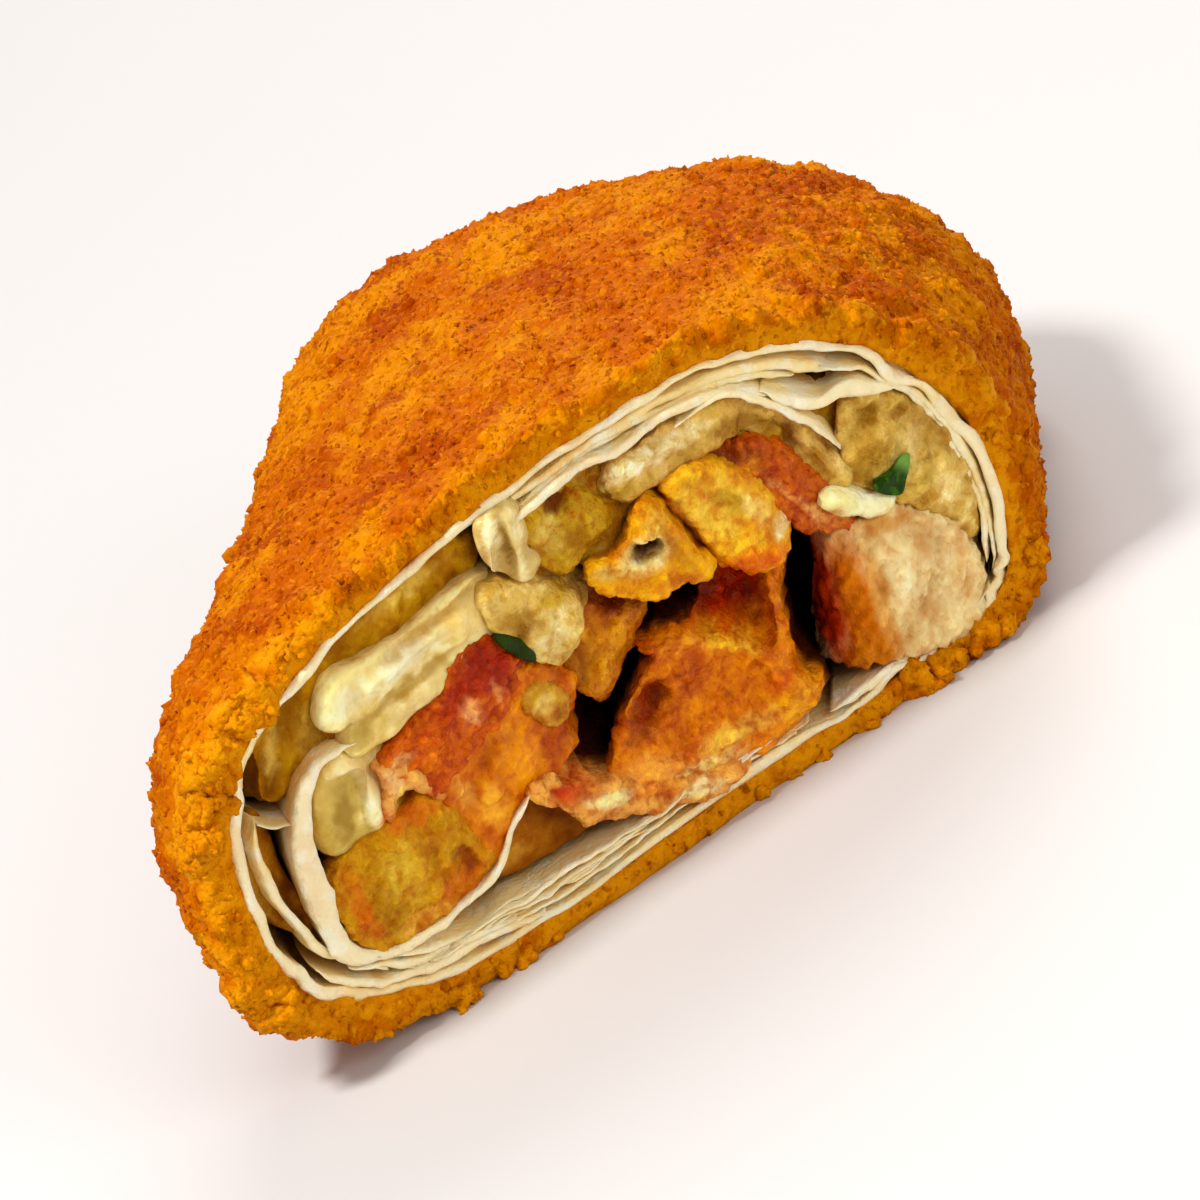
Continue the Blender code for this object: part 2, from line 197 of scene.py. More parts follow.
def closed_shell(rows, ends):
    """Points and faces of rings that run up a hollow, over the rim and back, with a cap at both ends."""
    columns, count = len(rows[0]), len(rows)
    points = np.concatenate(rows + [place(CENTRE, MIDDLE, end)[None] for end in ends])
    faces = [face[::-1] for face in grid_faces(count, columns, True, False)]
    for cap, start, turn in ((0, 0, -1), (1, (count - 1) * columns, 1)):
        ring = [start + i for i in range(columns)]
        faces += [(count * columns + cap, a, b)[::turn] for a, b in zip(ring, ring[1:] + ring[:1])]
    return points, faces


def positions(mesh):
    points = np.empty(len(mesh.vertices) * 3)
    mesh.vertices.foreach_get("co", points)
    return points.reshape(-1, 3)


def put_down(mesh, points):
    """Gives a mesh its points, with none below the table."""
    points[:, 2] = np.maximum(points[:, 2], 0)
    mesh.vertices.foreach_set("co", points.ravel())
    mesh.update()


def move_out(mesh, amount):
    """Moves each vertex along its normal by an amount in millimetres."""
    normals = np.empty(len(mesh.vertices) * 3)
    mesh.vertex_normals.foreach_get("vector", normals)
    put_down(mesh, positions(mesh) + normals.reshape(-1, 3) * (np.asarray(amount) * MM)[:, None])


def set_attribute(mesh, name, values):
    layer = mesh.attributes.new(name, "FLOAT", "POINT")
    layer.data.foreach_set("value", np.asarray(values, np.float32))


def seen(*colour):
    """A colour given as it shows on a screen, 0 to 255, as linear values."""
    return tuple(((c / 255 + 0.055) / 1.055) ** 2.4 if c > 10 else c / 255 / 12.92 for c in colour)


def fill_in(tree, node, inputs):
    """Sets a node's inputs to values, or links them where they are given a socket."""
    for key, value in inputs.items():
        socket = node.inputs[key]
        if isinstance(value, bpy.types.NodeSocket):
            tree.links.new(value, socket)
        elif socket.type == "RGBA" and len(value) == 3:
            socket.default_value = (*value, 1.0)
        else:
            socket.default_value = value


def add_node(tree, kind, inputs, out=0, **settings):
    """One output of a new node."""
    node = tree.nodes.new(kind)
    for key, value in settings.items():
        setattr(node, key, value)
    fill_in(tree, node, inputs)
    return node.outputs[out]


class Finish:
    """A procedural surface on Principled BSDF: layers of colour by masks, and bump."""

    def __init__(
        self, name, colour, roughness, glow=0.0, radius=1.0, wet=0.0, gleam=0.15, tint=(1, 0.8, 0.5)
    ):
        material = bpy.data.materials.new(name)
        material.use_nodes = True
        self.material, self.tree, self.colour = material, material.node_tree, colour
        self.shader = self.tree.nodes["Principled BSDF"]
        fill_in(self.tree, self.shader, {
            "Roughness": roughness, "Specular IOR Level": gleam, "Specular Tint": tint,
            "Coat Weight": wet, "Coat Roughness": 0.12, "Subsurface Weight": glow,
            "Subsurface Radius": (1.0, 0.45, 0.2), "Subsurface Scale": radius * MM,
        })
        self.place = self.node("ShaderNodeTexCoord", {}, "Object")

    def node(self, kind, inputs, out=0, **settings):
        return add_node(self.tree, kind, inputs, out, **settings)

    def at(self, size, turn=(0, 0, 0), stretch=(1, 1, 1), shift=(0, 0, 0)):
        """Object coordinates counted in bumps of that size in millimetres."""
        scale = [1 / (size * MM * s) for s in stretch]
        inputs = {"Vector": self.place, "Scale": scale, "Rotation": turn, "Location": shift}
        return self.node("ShaderNodeMapping", inputs)

    def noise(self, size, detail=2.0, rough=0.5, warp=0.0, **where):
        inputs = {"Scale": 1.0, "Detail": detail, "Roughness": rough, "Distortion": warp}
        return self.node("ShaderNodeTexNoise", {**inputs, "Vector": self.at(size, **where)}, "Fac")

    def attribute(self, name, out="Fac"):
        return self.node("ShaderNodeAttribute", {}, out, attribute_name=name)

    def between(self, value, low, high):
        """0 below low, 1 above high, smooth between; high under low turns it round."""
        inputs = {"Value": value, "From Min": min(low, high), "From Max": max(low, high)}
        if high < low:
            inputs.update({"To Min": 1.0, "To Max": 0.0})
        return self.node("ShaderNodeMapRange", inputs, "Result", interpolation_type="SMOOTHSTEP")

    def sum(self, first, second, how="ADD"):
        return self.node("ShaderNodeMath", {0: first, 1: second}, operation=how)

    def layer(self, value, low, high, colour, strength=1.0, how="MIX"):
        """Lays a colour over what is there, the more so as a value goes from low to high."""
        mask = self.between(value, low, high)
        if strength != 1.0:
            mask = self.sum(mask, strength, "MULTIPLY")
        inputs = {0: mask, 6: self.colour, 7: colour}
        self.colour = self.node("ShaderNodeMix", inputs, 2, data_type="RGBA", blend_type=how)

    def finish(self, relief, depth, strength=1.0):
        """Ends the surface with its bump, relief being one height socket and depth in millimetres."""
        inputs = {"Distance": depth * MM, "Strength": strength, "Height": relief}
        bump = self.node("ShaderNodeBump", inputs)
        fill_in(self.tree, self.shader, {"Base Color": self.colour, "Normal": bump})
        return self.material

    def slope(self, direction):
        """Distance in millimetres from the frame's middle along a direction."""
        inputs = {0: self.place, 1: [d / MM for d in direction]}
        return self.node("ShaderNodeVectorMath", inputs, "Value", operation="DOT_PRODUCT")

    def ahead(self):
        """Distance in millimetres in front of the cut, along the roll."""
        tilt = math.tan(CUT_ANGLE)
        along = self.slope((tilt * math.cos(SETTLE), -1, -tilt * math.sin(SETTLE)))
        return self.sum(along, float(section_of(np.zeros((1, 3)))[2][0]))


GOLD_REACH = (
    # angle round the roll in degrees from its right, millimetres that the golden band reaches back
    (-180, 6.5), (-150, 7.0), (-100, 6.0), (-60, 5.0), (-25, 3.0), (0, 2.0), (40, 2.2), (62, 1.6),
    (90, 1.5), (125, 1.5), (142, 4.0), (155, 6.5), (180, 6.5),
)
GOLD_OVER_RIM = 0.6  # how much a millimetre outwards on the rim counts against one backwards


def golden(points):
    """How pale and golden the crust is at points in the frame: 1 by the cut, 0 farther back."""
    u, v, ahead = section_of(points)
    x, y, z = np.asarray(points).T / MM
    angle = np.degrees(np.arctan2(v - MIDDLE, u - CENTRE))
    ring_u, ring_v = roll_outline(np.linspace(0, 2 * np.pi, 721), COAT_GAP)
    ring_angle = np.degrees(np.arctan2(ring_v - MIDDLE, ring_u - CENTRE))
    order = np.argsort(ring_angle)
    inner = np.interp(angle, ring_angle[order], np.hypot(ring_u - CENTRE, ring_v - MIDDLE)[order])
    outwards = np.clip(np.hypot(u - CENTRE, v - MIDDLE) - inner, 0, COAT)
    away = np.maximum(-ahead, 0) + GOLD_OVER_RIM * outwards
    reach = np.interp(angle, *np.array(GOLD_REACH, float).T)
    patchy = 1 + 1.1 * ripple(x, y, z, 6.0) + 0.9 * ripple(x + 50, y, z, 2.2)
    return np.clip((reach * patchy - away) / (1.0 + 0.9 * reach) + 0.5, 0, 1)


def crumb_finish(name, toasted):
    """Fried crumbs: golden to orange, browned in blotches and specks, yellower at the cut, with painted
    glints.
    """
    crumb = Finish(name, seen(187, 88, 0), 0.55, glow=0.06, radius=0.8, gleam=0.015, tint=(1, 0.4, 0.02))
    along = (1, 1.9, 1)
    crumb.layer(crumb.noise(10.0, 4.0, 0.6, stretch=along), 0.45, 0.6, seen(211, 128, 0), 0.9)
    browned = crumb.noise(7.0, 5.0, 0.66, stretch=along, shift=(7, 3, 1))
    crumb.layer(browned, 0.49, 0.62, seen(160, 58, 0), 0.9)
    patches = crumb.sum(crumb.noise(2.0, 4.0, 0.65, shift=(1, 8, 2)), -0.5)
    gold = crumb.sum(crumb.attribute("golden"), patches)
    crumb.layer(gold, 0.15, 0.7, seen(199, 106, 0), 0.8)
    crumb.layer(gold, 0.7, 1.1, seen(230, 152, 10), 0.8)
    grains = add_node(crumb.tree, "ShaderNodeTexVoronoi", {"Scale": 1.0, "Vector": crumb.at(0.62)}).node
    tone = crumb.node("ShaderNodeSeparateColor", {"Color": grains.outputs["Color"]}, "Red")
    crumb.layer(tone, 0.62, 0.95, seen(236, 146, 4), 0.25)
    crumb.layer(tone, 0.3, 0.05, seen(168, 62, 0), 0.3)
    spots = crumb.noise(2.0, 3.0, 0.6, stretch=(1, 1.4, 1), shift=(2, 9, 4))
    crumb.layer(spots, 0.61, 0.69, seen(128, 42, 1), 0.7)
    # Pale specks of painted highlight, standing for tiny glints on the crumbs.
    crumb.layer(crumb.noise(0.9, 2.0, shift=(5, 1, 8)), 0.66, 0.74, seen(240, 166, 30), 0.4)
    if toasted:
        crumb.layer(crumb.attribute("toast"), 0.88, 0.97, seen(150, 56, 1), 0.5)
        crumb.layer(crumb.attribute("toast"), 0.3, 0.0, seen(240, 152, 12), 0.35)
    hollows = crumb.sum(grains.outputs["Distance"], -0.9, "MULTIPLY")
    return crumb.finish(crumb.sum(hollows, crumb.noise(0.4, 3.0, 0.6)), 0.2)


def coat_rows():
    """Stations and outward offsets of the coat's rows: up the hollow, over the rim and back."""
    hollow = np.concatenate([dome_stations(COAT_END, 8)[::-1], np.linspace(STRAIGHT_END, 0.08, 9)])
    near = np.array([0.045, 0.022, 0.01, 0.003])
    inside = [(s, COAT_GAP) for s in np.concatenate([hollow, near])]
    rim = [(0.0, COAT_GAP + COAT * k / RIM_ROWS) for k in range(RIM_ROWS + 1)]
    straight = np.linspace(0, STRAIGHT_END, STRAIGHT_ROWS)[1:]
    outside = [(s, COAT_GAP + COAT) for s in np.concatenate([straight, dome_stations(CAP, DOME_ROWS)])]
    return inside + rim + outside


def ring_of(angles):
    """Points on a circle, for ripples that run round the roll without a seam."""
    return 3 * np.cos(angles), 3 * np.sin(angles)


def build_coat():
    angles = even_angles(COAT_COLUMNS, COAT_GAP + COAT)
    ring = ring_of(angles)
    edge = RAGGED * ripple(*ring, 2.0, WAVE_SIZE) + EDGE_TEETH * ripple(*ring, 5.0, TOOTH_SIZE)
    rows, crumbed = [], []
    for station, out in coat_rows():
        behind = station * LENGTH
        through = (out - COAT_GAP) / COAT
        u, v = roll_outline(angles, out - (1 - through) * LAP * math.exp(-behind / LAP_REACH))
        height = CRAG * ripple(u, v, behind, CRAG_SIZE)
        near_cut = math.exp(-((behind / LUMPY_EDGE_DEPTH) ** 2))
        height += LUMPY_EDGE * near_cut * np.maximum(0, ripple(u + 40, v, behind, LUMPY_EDGE_SIZE))
        height *= through
        grow = 1 + height / np.hypot(u - CENTRE, v - MIDDLE)
        u, v = CENTRE + (u - CENTRE) * grow, MIDDLE + (v - MIDDLE) * grow
        rows.append(place(u, v, station, edge * math.exp(-behind / EDGE_DEPTH)))
        crumbed.append(np.full(len(u), through))
    shell = closed_shell(rows, (COAT_END, 1.0))
    material = crumb_finish("fried crumb coat", False)
    coat = make_piece("crumb_coat", *shell, material, "crumb_coat", ["breading"])
    crumbed = np.minimum(1, 2.5 * np.concatenate(crumbed + [[0.0, 1.0]]))
    x, y, z = positions(coat.data).T / MM
    grain = sum(height * (2 * np.abs(ripple(x, y, z, size)) - 0.4) for size, height in COAT_GRAIN)
    pits = PIT_DEPTH * np.maximum(0, ripple(x + 60, y, z, PIT_SIZE) - PIT_SHARE)
    ahead = section_of(positions(coat.data))[2]
    clumps = CLUMP_HEIGHT * np.maximum(0, ripple(x, y + 80, z, CLUMP_SIZE))
    clumps = clumps * np.exp(-((ahead / CLUMP_DEPTH) ** 2))
    sheltered = np.clip(z / SHELTER, 0.15, 1)
    move_out(coat.data, (grain - pits + clumps) * crumbed * sheltered)
    set_attribute(coat.data, "crumbed", np.where(z > 0.9, crumbed, 0))
    set_attribute(coat.data, "golden", golden(positions(coat.data)))
    return coat


coat = build_coat()

RIM_CLUMPS = (
    # first and last angle round the roll, how many, smallest and largest half-width
    (286, 326, 18, 0.9, 2.2),
    (228, 286, 14, 0.8, 1.7),
    (146, 212, 40, 0.8, 2.1),
    (20, 146, 26, 0.5, 1.1),
    (-30, 20, 10, 0.6, 1.2),
)
RIM_SEED = 5
CLUMP_INNERMOST, CLUMP_OUTERMOST = 1.2, COAT + 0.9
CLUMP_FORWARD, CLUMP_STRETCH = (-1.6, 0.3), (0.65, 1.25)
CLUMP_BUMPS = ((0.75, 0.8), (0.35, 0.35))  # how rough a clump is, and the bumps' size in half-widths


def ball(subdivisions):
    """Points and triangles of a round ball of half-width 1."""
    bm = bmesh.new()
    bmesh.ops.create_icosphere(bm, subdivisions=subdivisions, radius=1)
    points = np.array([vert.co for vert in bm.verts])
    faces = np.array([[vert.index for vert in face.verts] for face in bm.faces])
    bm.free()
    return points, faces


def build_clumps():
    """Lumps of crumb torn loose along the cut and still hanging on to the coat."""
    draw = np.random.default_rng(RIM_SEED)
    shape, triangles = ball(3)
    points, faces = [], []
    for first, last, many, smallest, largest in RIM_CLUMPS:
        for _ in range(many):
            angle = np.radians(draw.uniform(first, last))
            half = draw.uniform(smallest, largest)
            u, v = roll_outline(angle, draw.uniform(CLUMP_INNERMOST, CLUMP_OUTERMOST - 0.3 * half))
            middle = place(u, v, 0.0, draw.uniform(*CLUMP_FORWARD)) / MM
            stretch = draw.uniform(*CLUMP_STRETCH, 3)
            x, y, z = (middle + shape * half * stretch).T
            rough = sum((height * ripple(x, y, z, half * size) for height, size in CLUMP_BUMPS), start=1)
            faces.append(triangles + len(points) * len(shape))
            points.append((middle + shape * half * stretch * rough[:, None]) * MM)
    points = np.concatenate(points)
    points[:, 2] = np.maximum(points[:, 2], 0)
    faces = np.concatenate(faces).tolist()
    clumps = make_piece("crumb_clumps", points, faces, coat.data.materials[0], "crumb_coat")
    set_attribute(clumps.data, "crumbed", np.ones(len(points)))
    set_attribute(clumps.data, "golden", golden(points))
    return clumps


clumps = build_clumps()

# ---- Loose crumbs on the coat ------------------------------------------------------------------
# Breadcrumbs half sunk in the coat, from dust to flakes of 2 mm, each kind scattered over the
# coat's outside and its torn rim.

CRUMBS = {
    # spacing, smallest and largest half-width, seed
    "crumbs_dust": (1.09, 0.18, 0.32, 3),
    "crumbs_fine": (1.1, 0.22, 0.4, 7),
    "crumbs_middling": (1.75, 0.32, 0.58, 11),
    "crumbs_coarse": (3.4, 0.45, 0.85, 23),
}
CRUMBED_OVER = 0.3
FLATTEST, LONGEST = (0.6, 0.5, 0.7), (1.6, 1.1, 1.2)  # of a crumb's own three sizes
SUNK = 0.34  # how deep the crumbs' middles lie, in largest half-widths
CRUMPLE, CRUMPLE_SIZE = 0.9, 0.55


def scatter_tree(material):
    """Scatters uneven crumbs on the faces whose crumbed attribute is high enough."""
    tree = bpy.data.node_groups.new("crumb scatter", "GeometryNodeTree")
    floats = dict.fromkeys(("Spacing", "Smallest", "Largest"), "Float")
    for label, kind in {"Coat": "Geometry", **floats, "Seed": "Int"}.items():
        tree.interface.new_socket(label, in_out="INPUT", socket_type="NodeSocket" + kind)
    tree.interface.new_socket("Crumbs", in_out="OUTPUT", socket_type="NodeSocketGeometry")

    def node(kind, inputs, out=0, **settings):
        return add_node(tree, kind, inputs, out, **settings)

    def scaled(vector, by):
        return node("ShaderNodeVectorMath", {0: vector, "Scale": by}, operation="SCALE")

    def drawn(number, limits, kind="FLOAT"):
        """A random value for each crumb, the numbered draws being independent of each other."""
        seed = node("ShaderNodeMath", {0: given["Seed"], 1: number}, operation="ADD")
        out = 0 if kind == "FLOAT_VECTOR" else 1
        return node("FunctionNodeRandomValue", {"Seed": seed, **limits}, out, data_type=kind)

    given = tree.nodes.new("NodeGroupInput").outputs
    crumbed = node("GeometryNodeInputNamedAttribute", {"Name": "crumbed"}, "Attribute", data_type="FLOAT")
    outside = node("FunctionNodeCompare", {"A": crumbed, "B": CRUMBED_OVER}, operation="GREATER_THAN")
    spread = {"Mesh": given["Coat"], "Selection": outside, "Distance Min": given["Spacing"]}
    spread.update({"Density Max": 4e6, "Seed": given["Seed"]})
    points = node("GeometryNodeDistributePointsOnFaces", spread, distribute_method="POISSON").node.outputs
    turn = drawn(1, {1: (math.tau, math.tau, math.tau)}, "FLOAT_VECTOR")
    size = drawn(2, {2: given["Smallest"], 3: given["Largest"]})
    shape = drawn(3, {0: FLATTEST, 1: LONGEST}, "FLOAT_VECTOR")
    inward = node("ShaderNodeMath", {0: given["Largest"], 1: -SUNK}, operation="MULTIPLY")
    sunk = {"Geometry": points["Points"], "Offset": scaled(points["Normal"], inward)}
    crumb = node("GeometryNodeMeshIcoSphere", {"Radius": 1.0, "Subdivisions": 1}, "Mesh")
    crumbs = node("GeometryNodeInstanceOnPoints", {
        "Points": node("GeometryNodeSetPosition", sunk), "Instance": crumb, "Rotation": turn,
        "Scale": scaled(shape, size),
    })
    toast = {"Geometry": crumbs, "Name": "toast", "Value": drawn(0, {})}
    toasted = node("GeometryNodeStoreNamedAttribute", toast, data_type="FLOAT", domain="INSTANCE")
    real = node("GeometryNodeRealizeInstances", {"Geometry": toasted})
    where = node("GeometryNodeInputPosition", {})
    rough = {"Vector": where, "Scale": 1 / (CRUMPLE_SIZE * MM), "Detail": 1.0}
    rough = node("ShaderNodeTexNoise", rough, "Color")
    rough = node("ShaderNodeVectorMath", {0: rough, 1: (0.5, 0.5, 0.5)}, operation="SUBTRACT")
    moved = {"Geometry": real, "Offset": scaled(rough, CRUMPLE * MM)}
    moved = node("GeometryNodeSetPosition", moved)
    result = node("GeometryNodeSetMaterial", {"Geometry": moved, "Material": material})
    fill_in(tree, tree.nodes.new("NodeGroupOutput"), {"Crumbs": result})
    return tree


def joined(name, pieces):
    """One mesh of several pieces, for the crumbs to be scattered on."""
    bm = bmesh.new()
    for piece in pieces:
        bm.from_mesh(piece.data)
    mesh = bpy.data.meshes.new(name)
    bm.to_mesh(mesh)
    bm.free()
    return mesh


def run_tree(name, tree, base, values):
    """Makes the plain mesh that a tree grows from a base mesh a piece of its own."""
    carrier = add_object(name, base)
    modifier = carrier.modifiers.new("tree", "NODES")
    modifier.node_group = tree
    for item in tree.interface.items_tree:
        if item.name in values:
            modifier[item.identifier] = values[item.name]
    depsgraph = bpy.context.evaluated_depsgraph_get()
    mesh = bpy.data.meshes.new_from_object(carrier.evaluated_get(depsgraph))
    carrier.modifiers.remove(modifier)
    carrier.data = mesh
    mesh.name = name
    mesh.shade_smooth()
    put_down(mesh, positions(mesh))
    keep(carrier)


crumb_tree = scatter_tree(crumb_finish("loose fried crumb", True))
crumb_bed = joined("crumb bed", [coat, clumps])
for crumb_name, (spacing, smallest, largest, seed) in CRUMBS.items():
    sizes = {"Spacing": spacing * MM, "Smallest": smallest * MM, "Largest": largest * MM, "Seed": seed}
    run_tree(crumb_name, crumb_tree, crumb_bed, sizes)

# ---- Outer flatbread ---------------------------------------------------------------------------
# One turn of thin flatbread, steamed soft and cream coloured, that lines the crumb coat all the
# way round. Its cut edge stands up in small waves and is torn in places.

BREAD, BREAD_END, BREAD_HOLLOW_END = 1.1, 0.945, 0.92
BREAD_COLUMNS = 420
BREAD_STATIONS = (
    0.0, 0.003, 0.007, 0.012, 0.02, 0.03, 0.045, 0.065, 0.09, 0.13, 0.2, 0.34, 0.5, STRAIGHT_END,
)
WAVE, WAVE_DEPTH, CREASE, CREASE_DEPTH = 1.5, 9.0, 0.18, 3.0  # how far the turn waves, and how far back
TIGHT, TIGHT_SIDE, TIGHT_SPREAD = 0.35, 0.8, 0.5  # it waves least away from this side of the roll
NEAREST = 0.15  # how far a wave may press into the coat
BREAD_LIP, BREAD_EDGE_TEETH = 0.35, 0.4
EDGE_FADE = 2.5  # how deep the flatbread's ragged edge reaches


def bread_finish():
    """Pale steamed flatbread with browner patches, painted shade inside the roll, a painted highlight at the
    cut.
    """
    bread = Finish("flatbread", seen(255, 227, 158), 0.42, 0.2, 1.2, gleam=0.18, tint=(1, 0.85, 0.6))
    bread.layer(bread.noise(7.0, 3.0, 0.5), 0.48, 0.66, seen(236, 186, 92), 0.55)
    bread.layer(bread.noise(3.0, 3.0, 0.55, shift=(3, 3, 3)), 0.46, 0.64, seen(255, 246, 216), 0.8)
    bread.layer(bread.noise(1.6, 3.0, shift=(8, 1, 5)), 0.66, 0.78, seen(206, 136, 36), 0.35)
    # Painted shade: the flatbread darkens the deeper it lies behind the cut.
    bread.layer(bread.ahead(), -1.4, -6.0, seen(226, 168, 66), 0.75)
    bread.layer(bread.ahead(), -6.0, -20.0, seen(116, 62, 12), 0.9)
    # A painted highlight along the flatbread's cut edge.
    bread.layer(bread.ahead(), -0.5, 0.5, seen(255, 246, 216), 0.45)
    return bread.finish(bread.sum(bread.noise(1.1, 3.0, 0.5), bread.noise(0.4, 2.0)), 0.18)


bread_material = bread_finish()


def build_outer_bread():
    angles = even_angles(BREAD_COLUMNS, 0)
    ring = ring_of(angles)
    edge = RAGGED * ripple(*ring, 7.0, WAVE_SIZE) + BREAD_EDGE_TEETH * ripple(*ring, 9.0, TOOTH_SIZE)
    inside = [(s, -1.0) for s in (*BREAD_STATIONS, *dome_stations(BREAD_HOLLOW_END, 8))][::-1]
    outside = [(s, 0.0) for s in (*BREAD_STATIONS, *dome_stations(BREAD_END, 10))]
    rows = []
    for station, side in inside + [(0.0, -0.66), (0.0, -0.33)] + outside:
        behind = station * LENGTH
        loose = TIGHT + (1 - TIGHT) * np.exp(-((np.cos(angles) - TIGHT_SIDE) / TIGHT_SPREAD) ** 2)
        wave = math.exp(-behind / WAVE_DEPTH) * WAVE * loose * ripple(*ring, 3.0 + behind / 14, 0.4)
        wave += math.exp(-behind / CREASE_DEPTH) * CREASE * ripple(*ring, 8.0 + behind / 5, TOOTH_SIZE)
        thick = BREAD * (0.78 + 0.5 * ripple(*ring, 14.0, 0.5))
        u, v = roll_outline(angles, np.minimum(NEAREST, wave) + side * thick)
        lip = BREAD_LIP * math.cos(math.pi * (side + 0.5)) if station == 0 else 0.0
        rows.append(place(u, v, station, edge * math.exp(-behind / EDGE_FADE) + lip))
    shell = closed_shell(rows, (BREAD_HOLLOW_END, BREAD_END))
    make_piece("bread_outer", *shell, bread_material, "flatbread", ["flatbread_outer"])


build_outer_bread()

# ---- Inner turns and folds of flatbread ----------------------------------------------------------
# The same flatbread rolled on inside: a stack of turns under the filling, folds at the left, a
# pocket round the left filling and ribbons along the crown, each thin, wavy and frayed at the cut.

TURN, GAP = 0.75, 0.35
FIRST_TURN = -BREAD - GAP - TURN / 2
FILLING_END = 0.895
SHEET_STEP = 0.35
SHEET_STATIONS = (
    0, 0.004, 0.009, 0.016, 0.026, 0.04, 0.06, 0.085, 0.12, 0.18, 0.26, 0.34, 0.5, 0.68, 0.8, FILLING_END,
)
THIN_EDGE, THINNEST = 2.2, 0.15  # a sheet thins over this far towards its edges, to this share
SHEET_LIP, LIP_SIDES = 0.22, (-0.4, 0.4)
FRAY = ((0.4, 3.3, 1.2), (0.25, 6.3, 0.6))  # depth, level and size of a sheet's finer frays
SWAY, SWAY_DEPTH, CURL, CURL_DEPTH = 1.6, 8.0, 0.14, 3.0  # how far a sheet waves, and how far back


def turn_path(first, last, out):
    """A path round the roll between two angles in degrees, out from the first inner turn."""
    return [roll_outline(math.radians(first + (last - first) * k / 6), FIRST_TURN + out) for k in range(7)]


def curve_through(points, steps):
    """Fine points on a smooth curve from the second to the last but one of a few points."""
    fine = []
    for p0, p1, p2, p3 in zip(points, points[1:], points[2:], points[3:]):
        for t in np.linspace(0, 1, steps, endpoint=False):
            bend = (2 * p0 - 5 * p1 + 4 * p2 - p3) * t**2 + (3 * p1 - p0 - 3 * p2 + p3) * t**3
            fine.append(0.5 * (2 * p1 + (p2 - p0) * t + bend))
    return np.array(fine + [points[-2]])


def respaced(fine, step, fewest=0, closed=False):
    """Points along a line of fine points, evenly spaced by about a step."""
    along = np.concatenate([[0], np.cumsum(np.linalg.norm(np.diff(fine, axis=0), axis=1))])
    wanted = np.linspace(0, along[-1], max(fewest, round(along[-1] / step)), endpoint=not closed)
    return np.stack([np.interp(wanted, along, fine[:, i]) for i in (0, 1)], axis=1)


def bread_sheet(name, path, node, thickness, forward, ragged, wave, seed, end=FILLING_END):
    """A wavy sheet whose section follows path, frayed at the cut; its thicknesses run along it."""
    given = np.array(path, float)
    padded = np.vstack([2 * given[0] - given[1], given, 2 * given[-1] - given[-2]])
    line = respaced(curve_through(padded, 12), SHEET_STEP, 8)
    spots = np.linspace(0, 1, len(line))
    thickness = np.interp(spots, np.linspace(0, 1, len(thickness)), thickness)
    tangent = np.gradient(line, axis=0)
    normal = np.stack([-tangent[:, 1], tangent[:, 0]], axis=1)
    normal /= np.linalg.norm(normal, axis=1)[:, None]
    along = np.arange(len(line)) * SHEET_STEP
    thickness = thickness * np.clip(np.minimum(along, along[-1] - along) / THIN_EDGE, THINNEST, 1)
    push = forward + ragged * ripple(along, seed * 5.0, 0.3, 4.0)
    for depth, level, size in FRAY:
        push += depth * ripple(along, seed * 5.0, level, size)
    stations = [s for s in SHEET_STATIONS if s <= end]
    profile = [(s, -1, 0.0) for s in stations[::-1]] + [(0.0, side, SHEET_LIP) for side in LIP_SIDES]
    shaped = []
    for station, side, lip in profile + [(s, 1, 0.0) for s in stations]:
        behind = station * LENGTH
        sway = math.exp(-behind / SWAY_DEPTH) * wave * SWAY * ripple(along, seed * 7.0 + 2, behind / 6, 4.2)
        sway = sway + math.exp(-behind / CURL_DEPTH) * CURL * ripple(along, seed * 3.0, behind, 1.5)
        thick = thickness * (0.8 + 0.3 * ripple(along, seed * 11.0, behind / 5, 4.0))
        u, v = (line + (sway + side * thick / 2)[:, None] * normal).T
        shaped.append(place(u, v, station, push * math.exp(-behind / EDGE_FADE) + lip))
    count, columns = len(shaped), len(line)
    faces = grid_faces(count, columns, False, True)
    half = count // 2
    for column, turn in ((0, 1), (columns - 1, -1)):
        for k in range(half - 1):
            ring = (half - 1 - k, half + k, half + k + 1, half - 2 - k)
            faces.append(tuple(r * columns + column for r in ring)[::turn])
    make_piece(name, np.concatenate(shaped), faces, bread_material, "flatbread", [node] if node else ())


def stacked(first, last, nearest, out):
    """A turn under the filling that peels away from the ones outside it after its first third."""
    lifted = np.interp(range(9), (0, 3, 6, 8), (nearest, out, out, (out + nearest) / 2))
    return [roll_outline(math.radians(first + (last - first) * k / 8), lifted[k]) for k in range(9)]


UNDER_THICKNESS, LEAF_THICKNESS = (0.15, 0.4, 0.42, 0.42), (0.12, 0.3, 0.24, 0.3)
SHORT = 0.3  # the last station of the leaves that lie beside the turns
for i in range(3):
    path = stacked(238 + 4 * i, 279 - 4 * i, FIRST_TURN - 0.45 * i, FIRST_TURN - i * (TURN + GAP) + 0.2)
    name = f"under_{i + 1}"
    bread_sheet("bread_" + name, path, "flatbread_" + name, UNDER_THICKNESS, 0.4 * i, 1.0, 0.35, i)
for i in range(4):
    path = stacked(236 + 3 * i, 281 - 3.5 * i, FIRST_TURN - 0.2 * i, FIRST_TURN - 0.3 - 0.6 * i)
    name = f"bread_under_leaf_{i + 1}"
    bread_sheet(name, path, None, LEAF_THICKNESS, 0.22 * i - 0.3, 1.3, 0.4, i + 10, SHORT)

